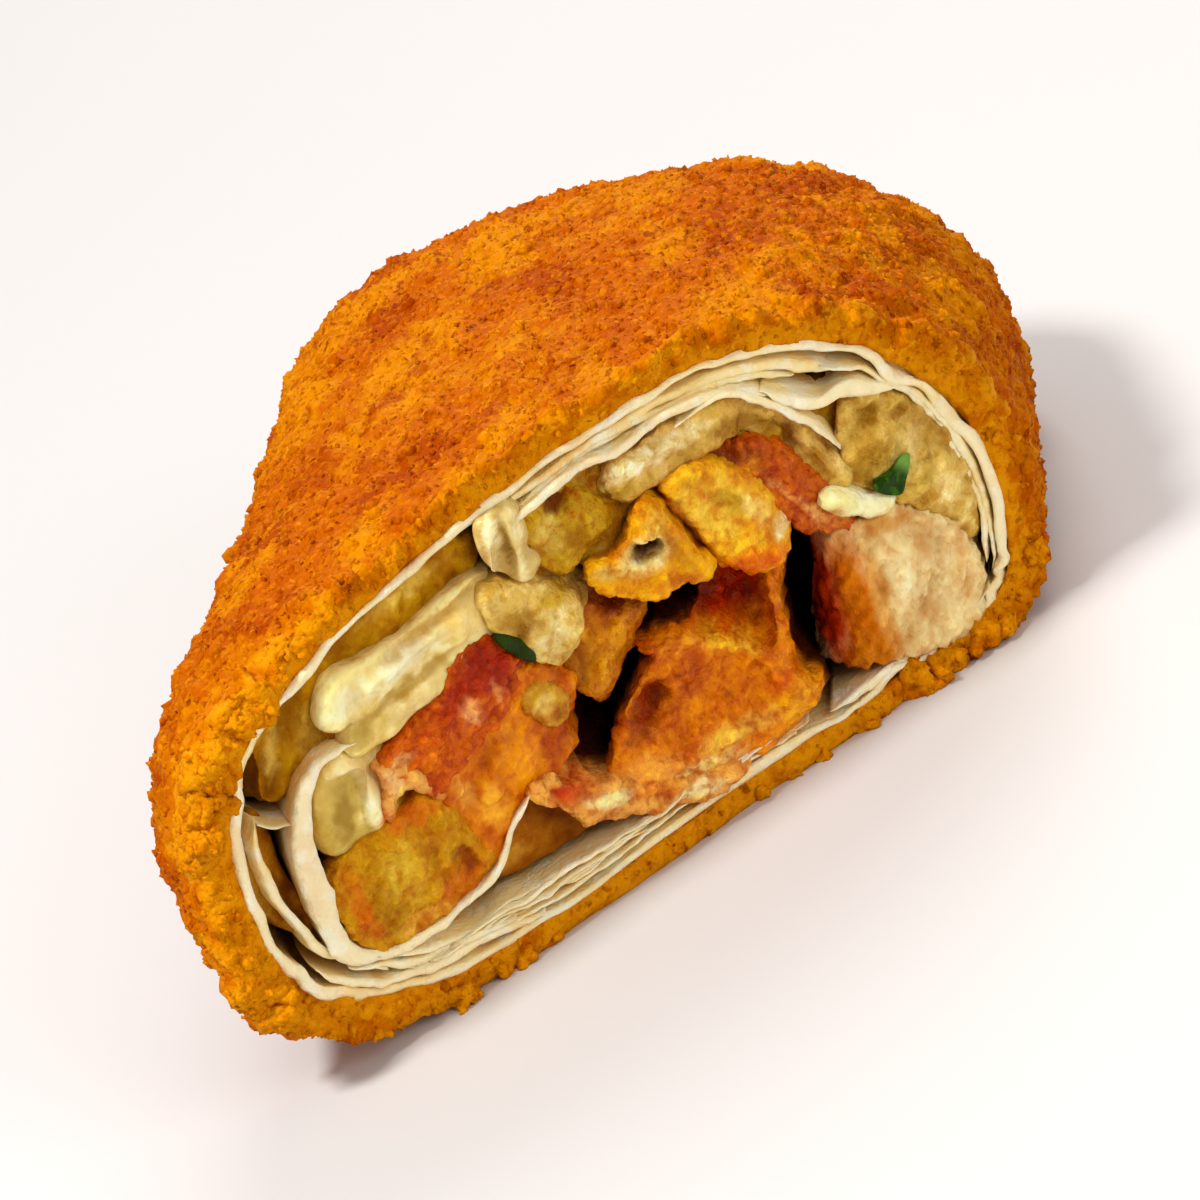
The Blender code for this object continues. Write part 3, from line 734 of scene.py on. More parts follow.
FOLD = ((-30.6, 24.6), (-31.0, 20.4), (-30.4, 16.0), (-29.2, 12.2), (-27.0, 8.4), (-23.4, 5.4))
FLAP = ((-30.4, 24.2), (-29.2, 22.9), (-27.6, 22.3))
CROWN_RIBBON = ((-8, 38.4), (-2, 40.2), (4, 40.9), (9, 41.4), (13, 40.9), (17, 38.8))
CROWN_TAIL = ((16.0, 39.6), (18.0, 37.7), (20.6, 35.9), (23.0, 35.9), (25.4, 34.6), (28.0, 33.4))
STREAMER = ((8.5, 40.3), (11.2, 40.8), (13.4, 40.6), (15.5, 39.2), (17.9, 36.2), (20.2, 33.4), (21.7, 30.8))
CROWN_LEAF = ((-9, 39.3), (-4, 41.0), (2, 42.1), (8, 42.6), (13, 42.2), (18, 40.4), (23, 37.6))
CROWN_UNDER = ((-6, 39.6), (-1, 41.0), (5, 41.7), (10, 41.9), (14, 41.4), (19, 39.0))
POCKET = (
    (-21.2, 26.9), (-23.2, 27.1), (-25.3, 26.0), (-26.6, 23.4), (-27.2, 20.4), (-27.2, 16.4), (-27.0, 12.6),
    (-25.8, 8.6), (-22.0, 6.4), (-16.6, 7.6), (-13.0, 9.4), (-11.0, 12.6), (-8.9, 14.6),
)
POCKET_THICKNESS = (0.4, 1.0, 1.6, 2.1, 2.4, 2.1, 1.5, 1.1, 1.0, 0.9, 0.8, 0.5)
SHEETS = (
    # piece, path, node, thicknesses along it, then forward, ragged, wave, seed and last station
    ("bread_corner_1", turn_path(210, 262, 0.35), None, (0.4, 0.9, 1.3, 0.6), 0.2, 0.9, 0.4, 21, SHORT),
    ("bread_corner_2", turn_path(219, 258, -0.6), None, (0.3, 0.7, 0.9, 0.4), 0.3, 1.0, 0.4, 22, SHORT),
    ("bread_corner_3", turn_path(226, 256, -1.5), None, (0.2, 0.5, 0.6, 0.3), 0.5, 1.1, 0.4, 23, SHORT),
    ("bread_side", turn_path(-8, 52, 0), "flatbread_side", (0.9, 0.5, 0.7, 0.4), 0.0, 0.8, 0.4, 3),
    ("bread_side_leaf", turn_path(-16, 36, 0.4), None, (0.4, 0.9, 0.8, 0.3), -0.2, 0.8, 0.15, 13, SHORT),
    ("bread_lining", turn_path(122, 160, -1.6), "flatbread_lining", (TURN,), -4.0, 0.5, 0.4, 4),
    ("bread_fold", FOLD, "flatbread_fold", (0.5, 0.8, 0.8, 0.6), 0.0, 0.8, 0.4, 5),
    ("bread_fold_flap", FLAP, None, (0.4,), 0.4, 0.4, 0.2, 15, 0.06),
    ("bread_crown", CROWN_RIBBON, "flatbread_crown", (0.6, 1.1, 0.8, 1.2), 0.4, 0.8, 0.4, 6),
    ("bread_crown_end", CROWN_TAIL, None, (0.8, 1.2, 1.8, 0.7), 0.7, 0.7, 0.3, 16, 0.2),
    ("bread_streamer", STREAMER, None, (0.3, 0.6, 0.9, 0.7, 0.4), 0.9, 0.6, 0.3, 17, 0.05),
    ("bread_under_right", turn_path(284, 338, 0.35), None, (0.6, 1.3, 1.4, 0.7), 0.3, 0.8, 0.3, 18, SHORT),
    ("bread_crown_leaf", CROWN_LEAF, None, (0.5, 0.9, 1.2, 1.0, 1.2, 0.8), -0.5, 0.5, 0.3, 19, SHORT),
    ("bread_crown_under", CROWN_UNDER, None, (0.8,), -0.7, 0.5, 0.3, 20, SHORT),
    ("bread_pocket", POCKET, "flatbread_pocket", POCKET_THICKNESS, 0.9, 0.8, 0.4, 7),
)
for sheet in SHEETS:
    bread_sheet(*sheet)

# ---- Filling -------------------------------------------------------------------------------------
# Strands of spiced chicken, fried potato, pickle, tomato, sauce and melted cheese, packed side by
# side through the roll. Each ends at the cut in a torn or sliced face: an outline on the cut, a
# front that bulges or hollows, and sides that run back to the closed end.

FRONT_STEP = 0.3
STRAND_DEPTHS = (0.8, 1.8, 3.2, 5.0, 7.5, 11.0, 16.0, 24.0)
STRAND_STATIONS = (0.34, 0.46, 0.58, 0.68, 0.76, 0.83, FILLING_END)
FRONT_FADE = 6  # how deep a strand's sides follow the shape of its front
DAB_EDGE, DAB_BLUR = 1.35, 0.7  # where a dab of colour ends and how softly, in half-widths
# Painted light on the filling: crests of the relief get a painted highlight and creases painted shade.
STANDING = 0.9  # relief that counts as full height for the paint
ON_CRESTS, IN_CREASES = (0.16, 0.2, 0.2), (0.3, 0.45, 0.6)  # how much of each primary these gain or lose
WARMTH = np.array((1.0, 0.98, 0.7))
# Painted shade: deeper behind the cut, the paint darkens towards this tone.
DEPTHS = (52, 10, 1)  # the tone that paint sinks to behind the cut
FRONT_CLEAR, FRONT_DARK = 2.2, 7.0  # how far behind the cut a front stays clear, and then takes to darken
SIDE_CLEAR, SIDE_DARK = 0.9, 4.0  # the same for a strand's sides
FIBRE_WIDTH, FIBRE_LENGTH = 0.85, 4.5  # the length in widths


def closed_outline(points, step, swell):
    """Evenly spaced points on a smooth closed curve through a few, moved outwards by swell."""
    given = np.array(points, float)
    area = np.sum(given[:, 0] * np.roll(given[:, 1], -1) - np.roll(given[:, 0], -1) * given[:, 1])
    if area < 0:
        given = given[::-1]
    line = respaced(curve_through(np.vstack([given[-1:], given, given[:2]]), 10), step, closed=True)
    tangent = np.roll(line, -2, axis=0) - np.roll(line, 2, axis=0)
    normal = np.stack([tangent[:, 1], -tangent[:, 0]], axis=1)
    return line + swell * normal / np.maximum(np.linalg.norm(normal, axis=1), 1e-6)[:, None]


def depth_inside(points, line):
    """Distance from the outline for points inside it, negative outside."""
    start, end = line, np.roll(line, -1, axis=0)
    edge = end - start
    to = points[:, None] - start[None]
    share = np.clip((to * edge).sum(-1) / (edge**2).sum(-1), 0, 1)
    distance = np.linalg.norm(to - share[..., None] * edge, axis=-1).min(1)
    above = (start[:, 1] > points[:, None, 1]) != (end[:, 1] > points[:, None, 1])
    climb = np.where(np.abs(edge[:, 1]) < 1e-9, 1e-9, edge[:, 1])
    crossing = start[:, 0] + (points[:, None, 1] - start[:, 1]) / climb * edge[:, 0]
    inside = (above & (points[:, None, 0] < crossing)).sum(1) % 2 == 1
    return np.where(inside, distance, -distance)


def turned(u, v, u0, v0, turn):
    """Distances from a spot on the cut along a direction in degrees and across it."""
    c, s = math.cos(math.radians(turn)), math.sin(math.radians(turn))
    return (u - u0) * c + (v - v0) * s, (v - v0) * c - (u - u0) * s


def knob(u, v, u0, v0, wide, tall, turn=0):
    """A smooth hump of height 1 at a spot on the cut."""
    a, b = turned(u, v, u0, v0, turn)
    return np.exp(-((a / wide) ** 2) - (b / tall) ** 2)


def strand_mesh(name, outline, front, rounding, swell, end):
    """A strand's mesh, and how far behind the cut each of its vertices is drawn."""
    line = closed_outline(outline, FRONT_STEP, swell)
    low, high = line.min(0), line.max(0)
    across = np.arange(low[0], high[0], FRONT_STEP)
    up = np.arange(low[1], high[1], FRONT_STEP * 0.866)
    grid = np.stack(np.meshgrid(across, up), -1)
    grid[1::2, :, 0] += FRONT_STEP / 2
    grid = grid.reshape(-1, 2)
    grid = grid[depth_inside(grid, line) > FRONT_STEP * 0.6]
    flat = np.concatenate([line, grid])
    around = len(line)
    edges = [(i, (i + 1) % around) for i in range(around)]
    got, _, triangles, source, _, _ = delaunay_2d_cdt([Vector(p) for p in flat.tolist()], edges, [], 1, 1e-5)
    points = np.array([tuple(p) for p in got])
    place_in = {s: i for i, sources in enumerate(source) for s in sources}
    ring = [place_in[i] for i in range(around)]
    edge_depth = np.maximum(depth_inside(points, line), 0)
    edge_depth[ring] = 0
    bend = np.clip(1 - edge_depth / rounding, 0, 1)
    ahead = front(points[:, 0], points[:, 1]) - rounding * (1 - np.sqrt(1 - bend**2))
    verts = [place(points[:, 0], points[:, 1], 0.0, ahead)]
    faces = [tuple(t) for t in triangles]
    rim_u, rim_v = points[ring].T
    rim_ahead, count = ahead[ring], len(points)
    rows = [(d / LENGTH, math.exp(-d / FRONT_FADE)) for d in STRAND_DEPTHS]
    rows += [(s, 0.0) for s in STRAND_STATIONS if s <= end]
    for station, hold in rows:
        verts.append(place(rim_u, rim_v, station, rim_ahead * hold))
        current = range(count, count + around)
        faces += [(ring[i], current[i], current[j], ring[j]) for i, j in edges]
        ring, count = current, count + around
    verts.append(place(rim_u.mean(), rim_v.mean(), end)[None])
    faces += [(ring[j], ring[i], count) for i, j in edges]
    behind = [np.zeros(len(points))] + [np.full(around, station * LENGTH) for station, _ in rows]
    return new_mesh(name, np.concatenate(verts), faces), np.concatenate(behind + [[end * LENGTH]])


def paint(mesh, base, dabs, relief, behind, drift):
    """Colours the vertices: a base, dabs of (colour, u, v, half-widths, turn, strength), painted shade in
    the depths.
    """
    where = positions(mesh)
    u, v, ahead = section_of(where)
    x, y, z = where.T / MM
    u = u + drift * (ripple(x, y, z, 1.8) + 0.6 * ripple(x + 31, y, z, 0.8))
    v = v + drift * (ripple(x, y + 17, z, 1.8) + 0.6 * ripple(x, y + 47, z, 0.8))
    colour = np.tile(seen(*base), (len(where), 1))
    for tone, u0, v0, wide, tall, turn, strength in dabs:
        a, b = turned(u, v, u0, v0, turn)
        mask = np.clip((DAB_EDGE - np.hypot(a / wide, b / tall)) / DAB_BLUR, 0, 1) * strength
        colour += (np.array(seen(*tone)) - colour) * mask[:, None]
    # Painted highlight on the crests of the relief and painted shade in its creases.
    stands = np.clip(relief / STANDING, -1, 1)[:, None]
    colour = colour * (1 + stands * np.where(stands > 0, ON_CRESTS, IN_CREASES))
    colour = np.minimum(colour * WARMTH, 1)
    # Painted shade, the deeper the farther a front or side lies behind the cut.
    inside = np.maximum((-ahead - FRONT_CLEAR) / FRONT_DARK, (behind - SIDE_CLEAR) / SIDE_DARK)
    colour += (np.array(seen(*DEPTHS)) - colour) * np.clip(inside, 0, 0.97)[:, None]
    layer = mesh.attributes.new("paint", "FLOAT_COLOR", "POINT")
    layer.data.foreach_set("color", np.concatenate([colour, np.ones((len(colour), 1))], 1).ravel())


def food_finish(name, rough, glow, gleam, grain, bump, crest, crease, wet=0.0, stretch=(1, 1, 1), turn=0):
    """A moist food painted on its vertices, with painted highlight on its crests and painted shade in its
    creases.
    """
    food = Finish(name, None, rough, glow, 1.2, wet, gleam, (1, 0.6, 0.06))
    food.colour = food.attribute("paint", "Color")
    along = {"warp": 0.2, "stretch": stretch, "turn": (0, math.radians(turn), 0)}
    broad = food.noise(grain * 2.8, 3.0, 0.55, shift=(4, 4, 4), **along)
    height = food.noise(grain, 4.0, 0.6, **along)
    # Broad patches of paler and darker tone.
    food.layer(broad, 0.5, 0.7, crest, 0.8, "MULTIPLY")
    food.layer(broad, 0.5, 0.32, crease, 0.8, "MULTIPLY")
    # The same tints on the bump's own heights: a painted highlight on its crests, painted shade in its
    # creases.
    food.layer(height, 0.52, 0.7, crest, 0.9, "MULTIPLY")
    food.layer(height, 0.5, 0.34, crease, 0.7, "MULTIPLY")
    return food.finish(food.sum(height, food.sum(food.noise(grain / 3, 2.0), 0.4, "MULTIPLY")), bump)


FOODS = {
    # crest tint: paler tone and painted highlight; crease tint: darker tone and painted shade
    # material, roughness, glow, gleam, grain size and depth, crest tint, crease tint, wetness, stretch, turn
    "chicken": (
        "chicken", 0.34, 0.25, 0.22, 1.2, 0.4, (1.08, 1.12, 1.25), (0.86, 0.64, 0.44), 0.05,
        (0.8, 1, 1.3), 35),
    "spiced_chicken": ("spiced chicken", 0.28, 0.1, 0.24, 1.0, 0.5, (1.2, 1.4, 1.1), (0.66, 0.3, 0.1), 0.08),
    "potato": ("fried potato", 0.28, 0.12, 0.22, 0.9, 0.45, (1.19, 1.4, 2.2), (0.8, 0.46, 0.1), 0.05),
    "tomato": ("cooked tomato", 0.26, 0.1, 0.24, 0.8, 0.5, (1.25, 1.6, 1.4), (0.66, 0.24, 0.1), 0.1),
    "cheese": ("melted cheese", 0.28, 0.35, 0.26, 1.2, 0.6, (1.27, 1.36, 1.9), (0.72, 0.54, 0.16), 0.06),
    "cream": ("soft cream", 0.22, 0.35, 0.3, 1.8, 0.3, (1.17, 1.2, 1.37), (0.86, 0.76, 0.46), 0.15),
    "sauce": ("sauce", 0.22, 0.15, 0.24, 1.2, 0.4, (1.2, 1.5, 1.1), (0.74, 0.4, 0.14), 0.1),
    "flatbread": ("soaked flatbread", 0.4, 0.1, 0.18, 1.2, 0.3, (1.2, 1.38, 1.6), (0.7, 0.5, 0.3)),
}
food_material = {food: food_finish(*row) for food, row in FOODS.items()}
BUMPS = {
    # size, height and whether the bumps are billowed: puffs with creases between them
    "chicken": ((3.2, 0.5, False), (1.3, 0.35, True), (0.75, 0.2, False)),
    "spiced_chicken": ((4.0, 0.6, False), (1.7, 0.45, True), (0.8, 0.22, False)),
    "potato": ((2.8, 0.45, False), (1.3, 0.3, True), (0.7, 0.14, False)),
    "tomato": ((2.4, 0.45, False), (1.0, 0.4, True), (0.6, 0.18, False)),
    "cheese": ((4.2, 0.9, False), (2.2, 0.4, True), (1.0, 0.16, False)),
    "cream": ((5.0, 0.9, False), (2.2, 0.3, False)),
    "sauce": ((3.0, 0.5, False), (1.3, 0.3, True), (0.7, 0.1, False)),
    "flatbread": ((5.0, 0.6, False), (2.0, 0.25, False)),
}


def strand(
    name, food, node, outline, base, dabs, stand, humps=(),
    rounding=1.2, swell=0.3, fibres=None, end=FILLING_END, drift=0.55,
):
    """One strand of filling. Its front stands out of the cut by stand, a number or a function of u
    and v, with humps of (height, u, v, half-widths, turn); fibres is (direction in degrees, height)."""

    def front(u, v):
        out = stand(u, v) if callable(stand) else stand
        for height, *spot in humps:
            out = out + height * knob(u, v, *spot)
        return out

    mesh, behind = strand_mesh(name, outline, front, rounding, swell, end)
    where = positions(mesh)
    x, y, z = where.T / MM
    offset = len(bpy.data.objects) * 7.0  # so that no two strands have the same bumps
    relief = np.zeros(len(x))
    for size, height, billowed in BUMPS[food]:
        bumps = ripple(x + offset, y, z, size)
        relief += height * ((np.abs(bumps) * 2 - 0.5) if billowed else bumps)
    if fibres:
        direction, height = fibres
        u, v = section_of(where)[:2]
        u, v = u + 0.8 * ripple(x, y, z, 3.0), v + 0.8 * ripple(x, y + 9, z, 3.0)
        along, across = turned(u, v, 0, 0, direction)
        relief += height * ripple(along / FIBRE_LENGTH, across, offset, FIBRE_WIDTH)
    move_out(mesh, relief)
    paint(mesh, base, dabs, relief, behind, drift)
    mesh.materials.append(food_material[food])
    keep(add_object(name, mesh), [node] if node else ())


def rise(value, softness=0.35):
    """0 well below zero and 1 well above it."""
    return 1 / (1 + np.exp(-np.clip(value / softness, -30, 30)))


def middle_front(u, v):
    """The sauced thigh piece: a dark hollow at its top, a shelf under it, a ridge down its right."""
    shelf = 20.4 - 0.8 * (u - 7.2)
    hollow = rise(u - 6.4) * rise(12.9 - u) * rise(v - shelf)
    ridge = knob(u, v, 13.5, 21, 1.2, 2.6, 10) + knob(u, v, 12.9, 16.4, 1.3, 3.4)
    ridge = ridge + knob(u, v, 14.2, 11, 1.7, 3.2, 20)
    scoop = knob(u, v, 7, 14, 3.4, 3, 20) + knob(u, v, 2, 16, 2.2, 2.4)
    scoop += 1.2 * knob(u, v, 1.2, 15.6, 1.4, 2.6, -30)
    lip = knob(u, v, 9.4, 17.8, 3.4, 0.6, -38) + 0.8 * knob(u, v, 4.6, 20.6, 2.4, 0.6, -10)
    return 0.3 - 4.8 * hollow + 1.8 * ridge + 1.0 * lip - 1.5 * scoop + 1.2 * knob(u, v, 5, 9.4, 6, 1.3, -4)


def chicken_front(u, v):
    """The pale chicken's face, which falls away to a spiced flank at its left."""
    return 1.4 - 0.36 * np.maximum(0, 22.6 - u) ** 1.6


def wedge_front(u, v):
    """The potato wedge's face, with a step down along its left."""
    return 1.8 - 3.2 * rise(0.45 * (31 - v) - (u - 7.9) - 0.2, 0.4)


# A creamy white for painted highlights on the filling.
MILK = (255, 234, 190)

# The darker dabs in the two grooves of its face are painted shade.
strand(
    "chicken_right_cut", "chicken", "chicken_right",
    [(17.6, 23.2), (22.1, 23.3), (24.8, 22.9), (27.6, 21.2), (29.9, 18.6), (31.4, 15.1), (32, 11.2),
     (31.6, 8.4), (29.6, 7), (26.4, 7.3), (22.7, 8.2), (18.9, 8.6), (16.4, 9.6), (16.2, 12.1), (16.6, 16.3),
     (17.2, 19.8)],
    (242, 214, 170), [((216, 120, 0), 20.6, 14, 2.2, 9, 6, 1), ((208, 120, 2), 20.4, 9.6, 3.2, 2.2, 0, 1),
     ((178, 44, 0), 17.2, 17, 2, 8, 4, 1), ((220, 160, 70), 22.8, 15.5, 0.8, 6, 4, 0.7),
     ((255, 240, 208), 27, 15.5, 2.6, 3.6, 10, 0.7), ((212, 142, 56), 24.4, 21.8, 2.8, 0.9, -20, 0.8),
     ((204, 156, 100), 28, 18, 1.4, 2.4, 30, 0.6), ((206, 160, 100), 25.2, 12, 0.9, 2.6, -20, 0.6),
     (MILK, 29.6, 9.6, 2, 1.4, 30, 0.6)],
    chicken_front, [(0.5, 27, 14, 4, 5), (-0.8, 27.6, 18.2, 0.8, 2.4, 30), (-0.6, 25, 12, 0.7, 3, -20)],
    swell=0.1, fibres=(62, 0.42)
)
# The dark red dabs in its top hollow and in the scoop at its left are painted shade; the bright dabs on the
# lips under the hollow, down the ridge at its right and along its lower edge are painted highlights.
strand(
    "chicken_middle_cut", "spiced_chicken", "chicken_middle",
    [(2.4, 20.2), (1.3, 21.6), (3.3, 21.8), (5.7, 21.6), (7, 22.7), (8, 25.4), (9.7, 25.6), (13.9, 24.1),
     (15, 22.7), (14.6, 20.6), (13.9, 17.8), (14, 14.8), (14.6, 11.8), (16, 10.2), (16.1, 8.4), (14, 7),
     (11.2, 6.3), (8.3, 6.4), (5, 6.8), (0.6, 8.4), (-3.2, 10.9), (-2.2, 13.8), (-0.6, 16.6)],
    (230, 124, 2), [((200, 42, 0), 9.8, 22.2, 3.4, 3.4, -8, 1), ((136, 22, 0), 7.6, 23.4, 1.3, 2.8, 0, 1),
     ((206, 98, 2), 5.2, 16.4, 3.4, 2, 10, 0.7), ((255, 180, 40), 9.2, 17.7, 3.4, 0.7, -38, 1),
     ((250, 160, 30), 4.6, 20.6, 2.4, 0.6, -10, 0.9), ((250, 150, 16), 12.9, 16.4, 1, 4.4, 0, 0.95),
     ((240, 140, 8), 13.6, 21.2, 0.8, 2.4, 10, 0.9), ((252, 168, 8), 13.6, 9.4, 2.4, 2.2, 20, 0.9),
     ((255, 196, 84), 8.6, 9.6, 3.6, 1, -4, 0.9), ((255, 216, 150), 4.6, 8, 3.6, 0.9, -8, 0.9),
     ((252, 166, 70), 0.8, 10.4, 2.8, 1.1, -24, 0.9), ((224, 74, 4), 12.9, 12.4, 1, 1.3, 0, 0.6),
     ((150, 50, 2), 4.3, 17.2, 0.5, 0.5, 0, 0.8), ((150, 50, 2), 8, 12.8, 0.4, 0.4, 0, 0.7),
     ((140, 36, 1), 1.2, 15.6, 1.3, 2.8, -30, 0.95)],
    middle_front, rounding=0.9, swell=0
)
# Its creamy dabs, on its raised middle and lower edge, are painted highlights.
strand(
    "chicken_scrap_cut", "spiced_chicken", "chicken_scrap",
    [(-9, 14.8), (-7.3, 14.6), (-5.5, 13), (-4.4, 12.4), (-2.3, 11.4), (0.5, 9.4), (3.7, 7.9), (7.4, 6.8),
     (8.6, 5.8), (6.2, 5.2), (3.1, 5.4), (-0.7, 7.2), (-4.7, 8.7), (-6.8, 10.8), (-8.9, 13.3)],
    (240, 166, 84), [((226, 84, 6), -6.2, 12.6, 1.8, 1.1, -30, 0.9), (MILK, -3, 10.2, 2.2, 0.8, -24, 0.9),
     ((206, 40, 4), -6.9, 13.2, 0.7, 0.5, 0, 0.8), ((238, 132, 30), 1, 8.6, 2, 0.7, -24, 0.8),
     (MILK, 4.2, 6.6, 2.4, 0.6, -10, 0.9), ((190, 90, 20), -4.4, 11.6, 1.2, 0.4, -24, 0.6)],
    1.5, [(0.6, -3, 10, 3, 1.5, -24)], rounding=0.8, swell=0.2
)
# The dark dab in the hollow at its top right is painted shade, the pale stripe on its ridge a painted
# highlight.
strand(
    "chicken_strip_cut", "spiced_chicken", "chicken_strip",
    [(-1.8, 29.4), (1.2, 28.2), (4, 25.9), (2.6, 24.2), (1.2, 22), (-1, 18.8), (-2.1, 17.5), (-3.8, 19.2),
     (-4.6, 22.4), (-4.6, 24.9), (-3.3, 27)],
    (204, 120, 6), [((128, 42, 2), 0.6, 27, 3.2, 1.1, -34, 1),
     ((230, 156, 24), -0.4, 22.8, 0.6, 4, -28, 0.8), ((152, 84, 2), -3.6, 22.6, 1.2, 3.2, -20, 0.8),
     ((230, 150, 30), -3.2, 25.4, 1, 0.6, 0, 0.6)],
    -1.6, [(-1.8, 1, 27.5, 4, 1.4, -30), (1, -1, 22, 1, 4, -28)], rounding=0.8, swell=0
)
# The brown dab down its stepped-back left flank is painted shade.
strand(
    "potato_top_cut", "potato", "potato_top",
    [(6.2, 34.9), (7.6, 36), (9.7, 35.6), (11.7, 34.3), (13.9, 31.8), (15.2, 29), (15.9, 26.2),
     (15.4, 23.9), (13.6, 23.4), (11.5, 24.2), (9.5, 25.8), (8.1, 28.6), (6.8, 31.8)],
    (246, 178, 28), [((166, 80, 2), 6.9, 32.4, 0.9, 3.8, 28, 1),
     ((255, 206, 70), 10.4, 31.6, 2.4, 3.4, 40, 0.8), ((190, 140, 16), 11.4, 31.4, 0.8, 2, 40, 0.8),
     ((232, 112, 2), 12.6, 24.9, 3.6, 1.3, -12, 1), ((250, 210, 120), 13.9, 29.4, 0.9, 1.8, 24, 0.7),
     (MILK, 15.4, 26.8, 0.6, 1, 0, 0.8), ((214, 150, 20), 9.4, 34.6, 1.6, 0.6, -20, 0.6)],
    wedge_front, [(-0.9, 11.2, 31.2, 1.1, 2.2, 40), (0.8, 12.5, 25.2, 3, 1, -14)], rounding=0.9
)
# The dark dab in its hole is painted shade.
strand(
    "potato_middle_cut", "potato", "potato_middle",
    [(4.4, 35.1), (5.8, 34), (6.8, 31.4), (7.7, 28.8), (9.3, 26.4), (8.3, 25.7), (6.4, 26.4), (5.4, 25.8),
     (4, 26.2), (2, 27.4), (-0.1, 29.5), (-0.9, 31.6), (1.4, 31.5), (3, 33)],
    (238, 164, 10), [((255, 230, 160), 4.1, 30.5, 2.1, 1.6, -10, 0.95),
     ((84, 24, 1), 4, 30.7, 1.2, 0.8, -18, 1), ((250, 170, 14), 3.4, 27.3, 3.8, 0.8, -32, 0.9),
     ((244, 190, 70), 5.4, 32.6, 0.9, 1.6, 20, 0.7), ((196, 84, 2), 6.8, 26.6, 1.6, 0.5, -20, 0.8),
     ((220, 190, 110), 1, 30.6, 1.4, 0.6, -20, 0.7), ((176, 100, 6), 6.6, 29.6, 0.5, 2.4, 20, 0.6)],
    1.8, [(-4, 4, 30.7, 1.15, 0.7, -18), (0.6, 3.4, 27.4, 3.4, 0.8, -32), (0.5, 4.1, 32, 1.2, 0.4, -18)],
    rounding=0.6, drift=0.1
)
# The dark dabs in its two grooves are painted shade.
strand(
    "potato_low_cut", "potato", "potato_left",
    [(-20.6, 18.2), (-17.7, 18.7), (-16.3, 17.2), (-15.3, 14.2), (-13.4, 9.8), (-15.5, 8.2), (-18.3, 7.2),
     (-21.6, 6.6), (-24.4, 8), (-26, 12), (-25.8, 15.6), (-23.4, 17.6)],
    (208, 144, 8), [((222, 176, 50), -20.6, 13.4, 1.6, 2.8, 10, 0.7),
     ((180, 124, 10), -22.4, 10.4, 1.2, 2.8, 20, 0.7), ((216, 116, 6), -16, 9.6, 2.4, 1.6, 40, 0.95),
     ((220, 106, 6), -18.6, 17.8, 2.4, 1, -12, 0.8), ((140, 50, 2), -15.5, 11.6, 0.7, 1.7, 14, 0.9),
     ((220, 104, 4), -24.2, 12.4, 0.7, 3.4, 10, 0.7), ((240, 170, 60), -19.6, 8.2, 2.4, 0.8, 0, 0.8),
     ((176, 100, 8), -18, 13.4, 0.6, 2.4, 16, 0.6)],
    0.6, [(-1.5, -15.5, 11.6, 0.7, 1.9, 14), (0.8, -19, 12, 4, 4), (-1.2, -23.6, 16.5, 1.6, 2),
    (-0.7, -18, 13.4, 0.6, 3, 16)], rounding=1, fibres=(70, 0.3)
)
# The dark dab in the hollow at its top is painted shade.
strand(
    "potato_end_cut", "potato", "pickle_left",
    [(-4.9, 39.4), (-2.5, 38.9), (0.1, 37.3), (1.5, 34.6), (-0.6, 33.2), (-2.5, 32.2), (-4.1, 33.2),
     (-5.3, 35.9)],
    (196, 146, 22), [((166, 106, 8), -1.2, 34.4, 1.8, 1, -30, 0.8),
     ((226, 190, 90), -3.4, 36.4, 1.2, 1.6, 0, 0.8), ((112, 50, 6), -2.4, 38.6, 1.2, 0.7, -20, 1),
     ((214, 170, 30), -0.6, 36.4, 0.8, 0.8, 0, 0.7)],
    0.4, [(-2.2, -2.4, 38.8, 1.4, 0.8, -20)], rounding=1
)
# The dark dab along the dip at its upper left is painted shade.
strand(
    "tomato_top_cut", "tomato", "tomato_top",
    [(9.4, 36), (11.9, 35.4), (14.5, 35), (16.4, 32.9), (18.1, 30.3), (19.6, 27.8), (20.6, 25.7),
     (21.8, 23), (19.3, 23.6), (17, 25.2), (15.4, 28), (14, 31), (12, 33.7)],
    (206, 90, 10), [((184, 64, 6), 17.6, 28.4, 0.9, 4, 32, 0.7),
     ((236, 158, 90), 16.4, 29.4, 0.35, 3.2, 34, 0.8), ((240, 170, 104), 18.8, 26, 0.4, 2.4, 30, 0.8),
     ((150, 64, 6), 12.4, 34.8, 2.8, 0.8, -20, 0.9), ((224, 128, 50), 19.8, 24.2, 1.6, 0.6, -20, 0.8),
     ((210, 120, 20), 14.4, 33, 0.8, 1.4, 30, 0.6)],
    0.7, [(-2, 11, 35.4, 3, 1.4, -20), (0.5, 17.6, 27.6, 1.6, 3, 34)], rounding=0.8, fibres=(-58, 0.45)
)
strand(
    "tomato_left_cut", "tomato", "tomato_left",
    [(-11.9, 30.1), (-9.8, 29.5), (-7.8, 26), (-8.7, 23.2), (-11.2, 21.7), (-13.2, 20.2), (-16.2, 18.7),
     (-18.8, 21), (-20.6, 23.8), (-18.2, 25), (-16.1, 26.3), (-14.4, 27.3), (-13.2, 28.9)],
    (218, 94, 4), [((166, 26, 2), -10.4, 27.4, 2.2, 2.8, 20, 1),
     ((190, 48, 4), -13.2, 26.2, 2.2, 1.3, 35, 0.9), ((246, 160, 110), -12.4, 24.4, 0.7, 1.5, 20, 0.9),
     ((230, 112, 4), -16.6, 21.6, 2.6, 1.6, 35, 0.8), ((252, 186, 130), -18.6, 22.9, 1.4, 0.5, 30, 0.8),
     ((186, 60, 4), -15, 24, 1.6, 0.4, 35, 0.6), ((236, 140, 90), -10, 25, 0.35, 1.6, 10, 0.7)],
    0.9, [(0.6, -12.5, 25.5, 4, 2, 36)], rounding=0.9, fibres=(36, 0.42)
)
